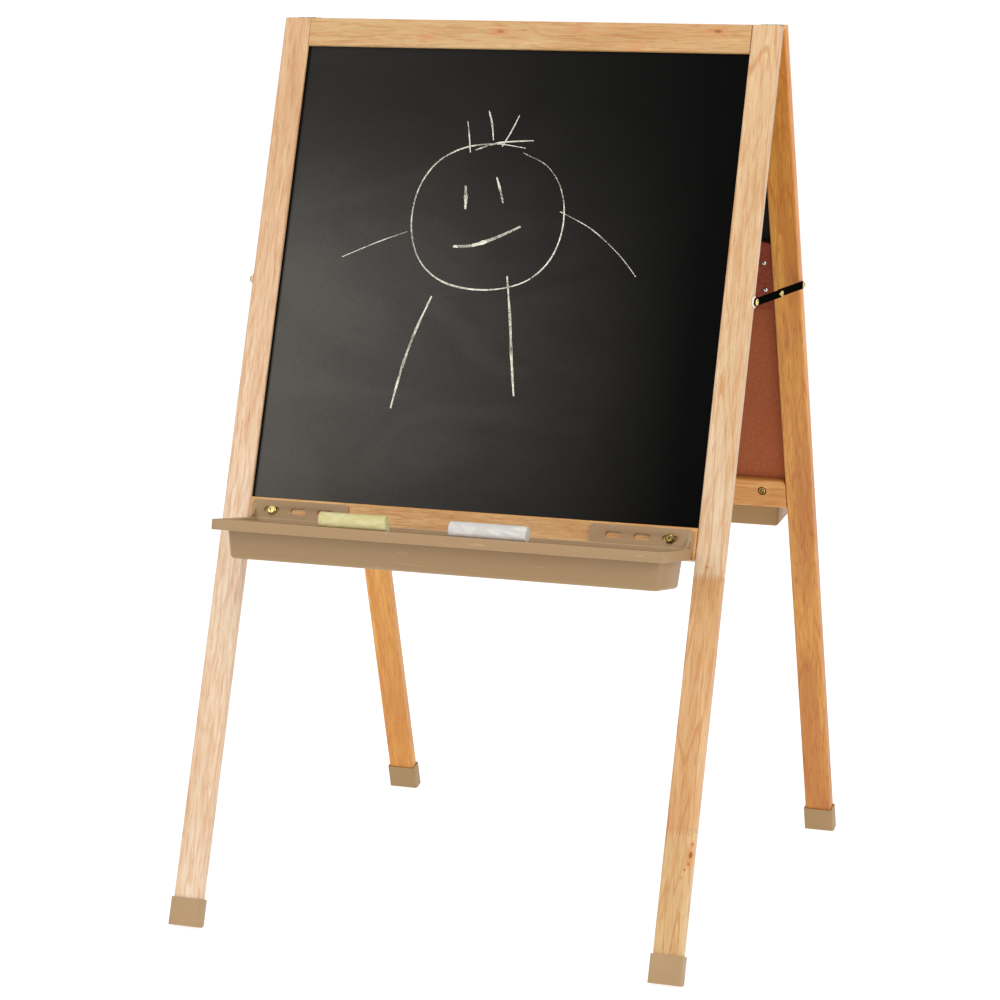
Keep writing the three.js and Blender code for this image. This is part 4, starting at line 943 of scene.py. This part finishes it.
# ---- Chalk drawing ---------------------------------------------------------------------------------
# A small child's stick figure in white chalk on the slate: broken lines that thin out towards their ends, each
# a film of dust a little proud of the board.
made, tree, shader = material_of("chalk_line")
vector = laid_along(tree, SIDE["front"].inverted())
grit = stretched_noise(tree, vector, (1100, 1100, 1100), 3.0)
press = stretched_noise(tree, vector, (45, 45, 45), 2.0)
pressed = blend(tree, between(tree, press, 0.35, 0.65), srgb(206, 204, 188), srgb(238, 236, 218))
finished(tree, shader, pressed, 1, specular=0)
gaps, lighter = between(tree, grit, 0.38, 0.56, -0.25, 1.0), between(tree, press, 0.3, 0.6, -0.35, 0.35)
worn_through = maths(tree, "ADD", gaps, lighter)
tree.links.new(maths(tree, "MINIMUM", maths(tree, "MAXIMUM", worn_through, 0.0), 1.0), shader.inputs["Alpha"])
chalk_line = made
BOARD_Y = FACE_Y + 4
LINE_THICK, LINE_OFF = 0.12, 0.06


def smooth_path(points, t):
    """A place on a smooth curve through the points, t from 0 to 1."""
    spans = len(points) - 1
    i = min(int(t * spans), spans - 1)
    local = t * spans - i
    before, start, end, after = (points[min(max(i + k, 0), spans)] for k in (-1, 0, 1, 2))
    place = []
    for a, b, c, d in zip(before, start, end, after):
        place.append(0.5 * (2 * b + (c - a) * local + (2 * a - 5 * b + 4 * c - d) * local ** 2
                            + (3 * b - a - 3 * c + d) * local ** 3))
    return Vector(place)


HEAD = [(-21 + (101 - 0.35 * k) * math.cos(a), -247 + (97 - 0.45 * k) * math.sin(a) + 4 * math.sin(3 * a))
        for k, a in enumerate(math.radians(68 + 24 * k) for k in range(16))]
FIGURE = {
    "head": (HEAD, 2.2, 110),
    "left_eye": ([(-55, -208), (-53, -222), (-52, -237)], 5.0, 8),
    "right_eye": ([(-16, -196), (-10, -211), (-4, -228)], 3.2, 8),
    "smile": ([(-62, -284), (-38, -282), (-10, -272), (22, -256)], 5.0, 16),
    "hair_left": ([(-62, -127), (-58, -145), (-54, -166)], 2.0, 8),
    "hair_middle": ([(-36, -113), (-30, -130), (-26, -150)], 2.4, 8),
    "hair_right": ([(4, -118), (-4, -138), (-14, -158)], 2.0, 8),
    "fringe": ([(-48, -163), (-18, -153), (26, -149)], 2.2, 16),
    "left_arm": ([(-124, -268), (-160, -282), (-206, -303)], 1.6, 16),
    "right_arm": ([(70, -236), (112, -256), (150, -286), (174, -312)], 1.6, 20),
    "left_leg": ([(-82, -347), (-98, -392), (-110, -440), (-118, -488)], 3.8, 24),
    "right_leg": ([(12, -318), (22, -370), (30, -420), (38, -464)], 3.8, 24),
}
for name, (points, width, steps) in FIGURE.items():
    bm = bmesh.new()
    bmesh.ops.create_grid(bm, x_segments=steps, y_segments=1, size=0.5)
    for v in bm.verts:
        t = min(max(v.co.x + 0.5, 0.0), 1.0)
        here = smooth_path(points, t)
        run = smooth_path(points, min(t + 0.01, 1.0)) - smooth_path(points, max(t - 0.01, 0.0))
        across_line = Vector((-run.y, run.x)).normalized()
        swell = (0.35 + 0.65 * math.sin(math.pi * min(max(t, 0.04), 0.96)) ** 0.5) * (
            0.8 + 0.45 * noise.noise(Vector((t * 9, width, 0))))
        there = here + across_line * (v.co.y * width * swell)
        v.co = (there.x, BOARD_Y - LINE_OFF, there.y)
    thickened(bm, (0, -LINE_THICK, 0))
    piece("chalk_line_" + name, bm, "front_frame", chalk_line, (), SIDE["front"] @ MM)
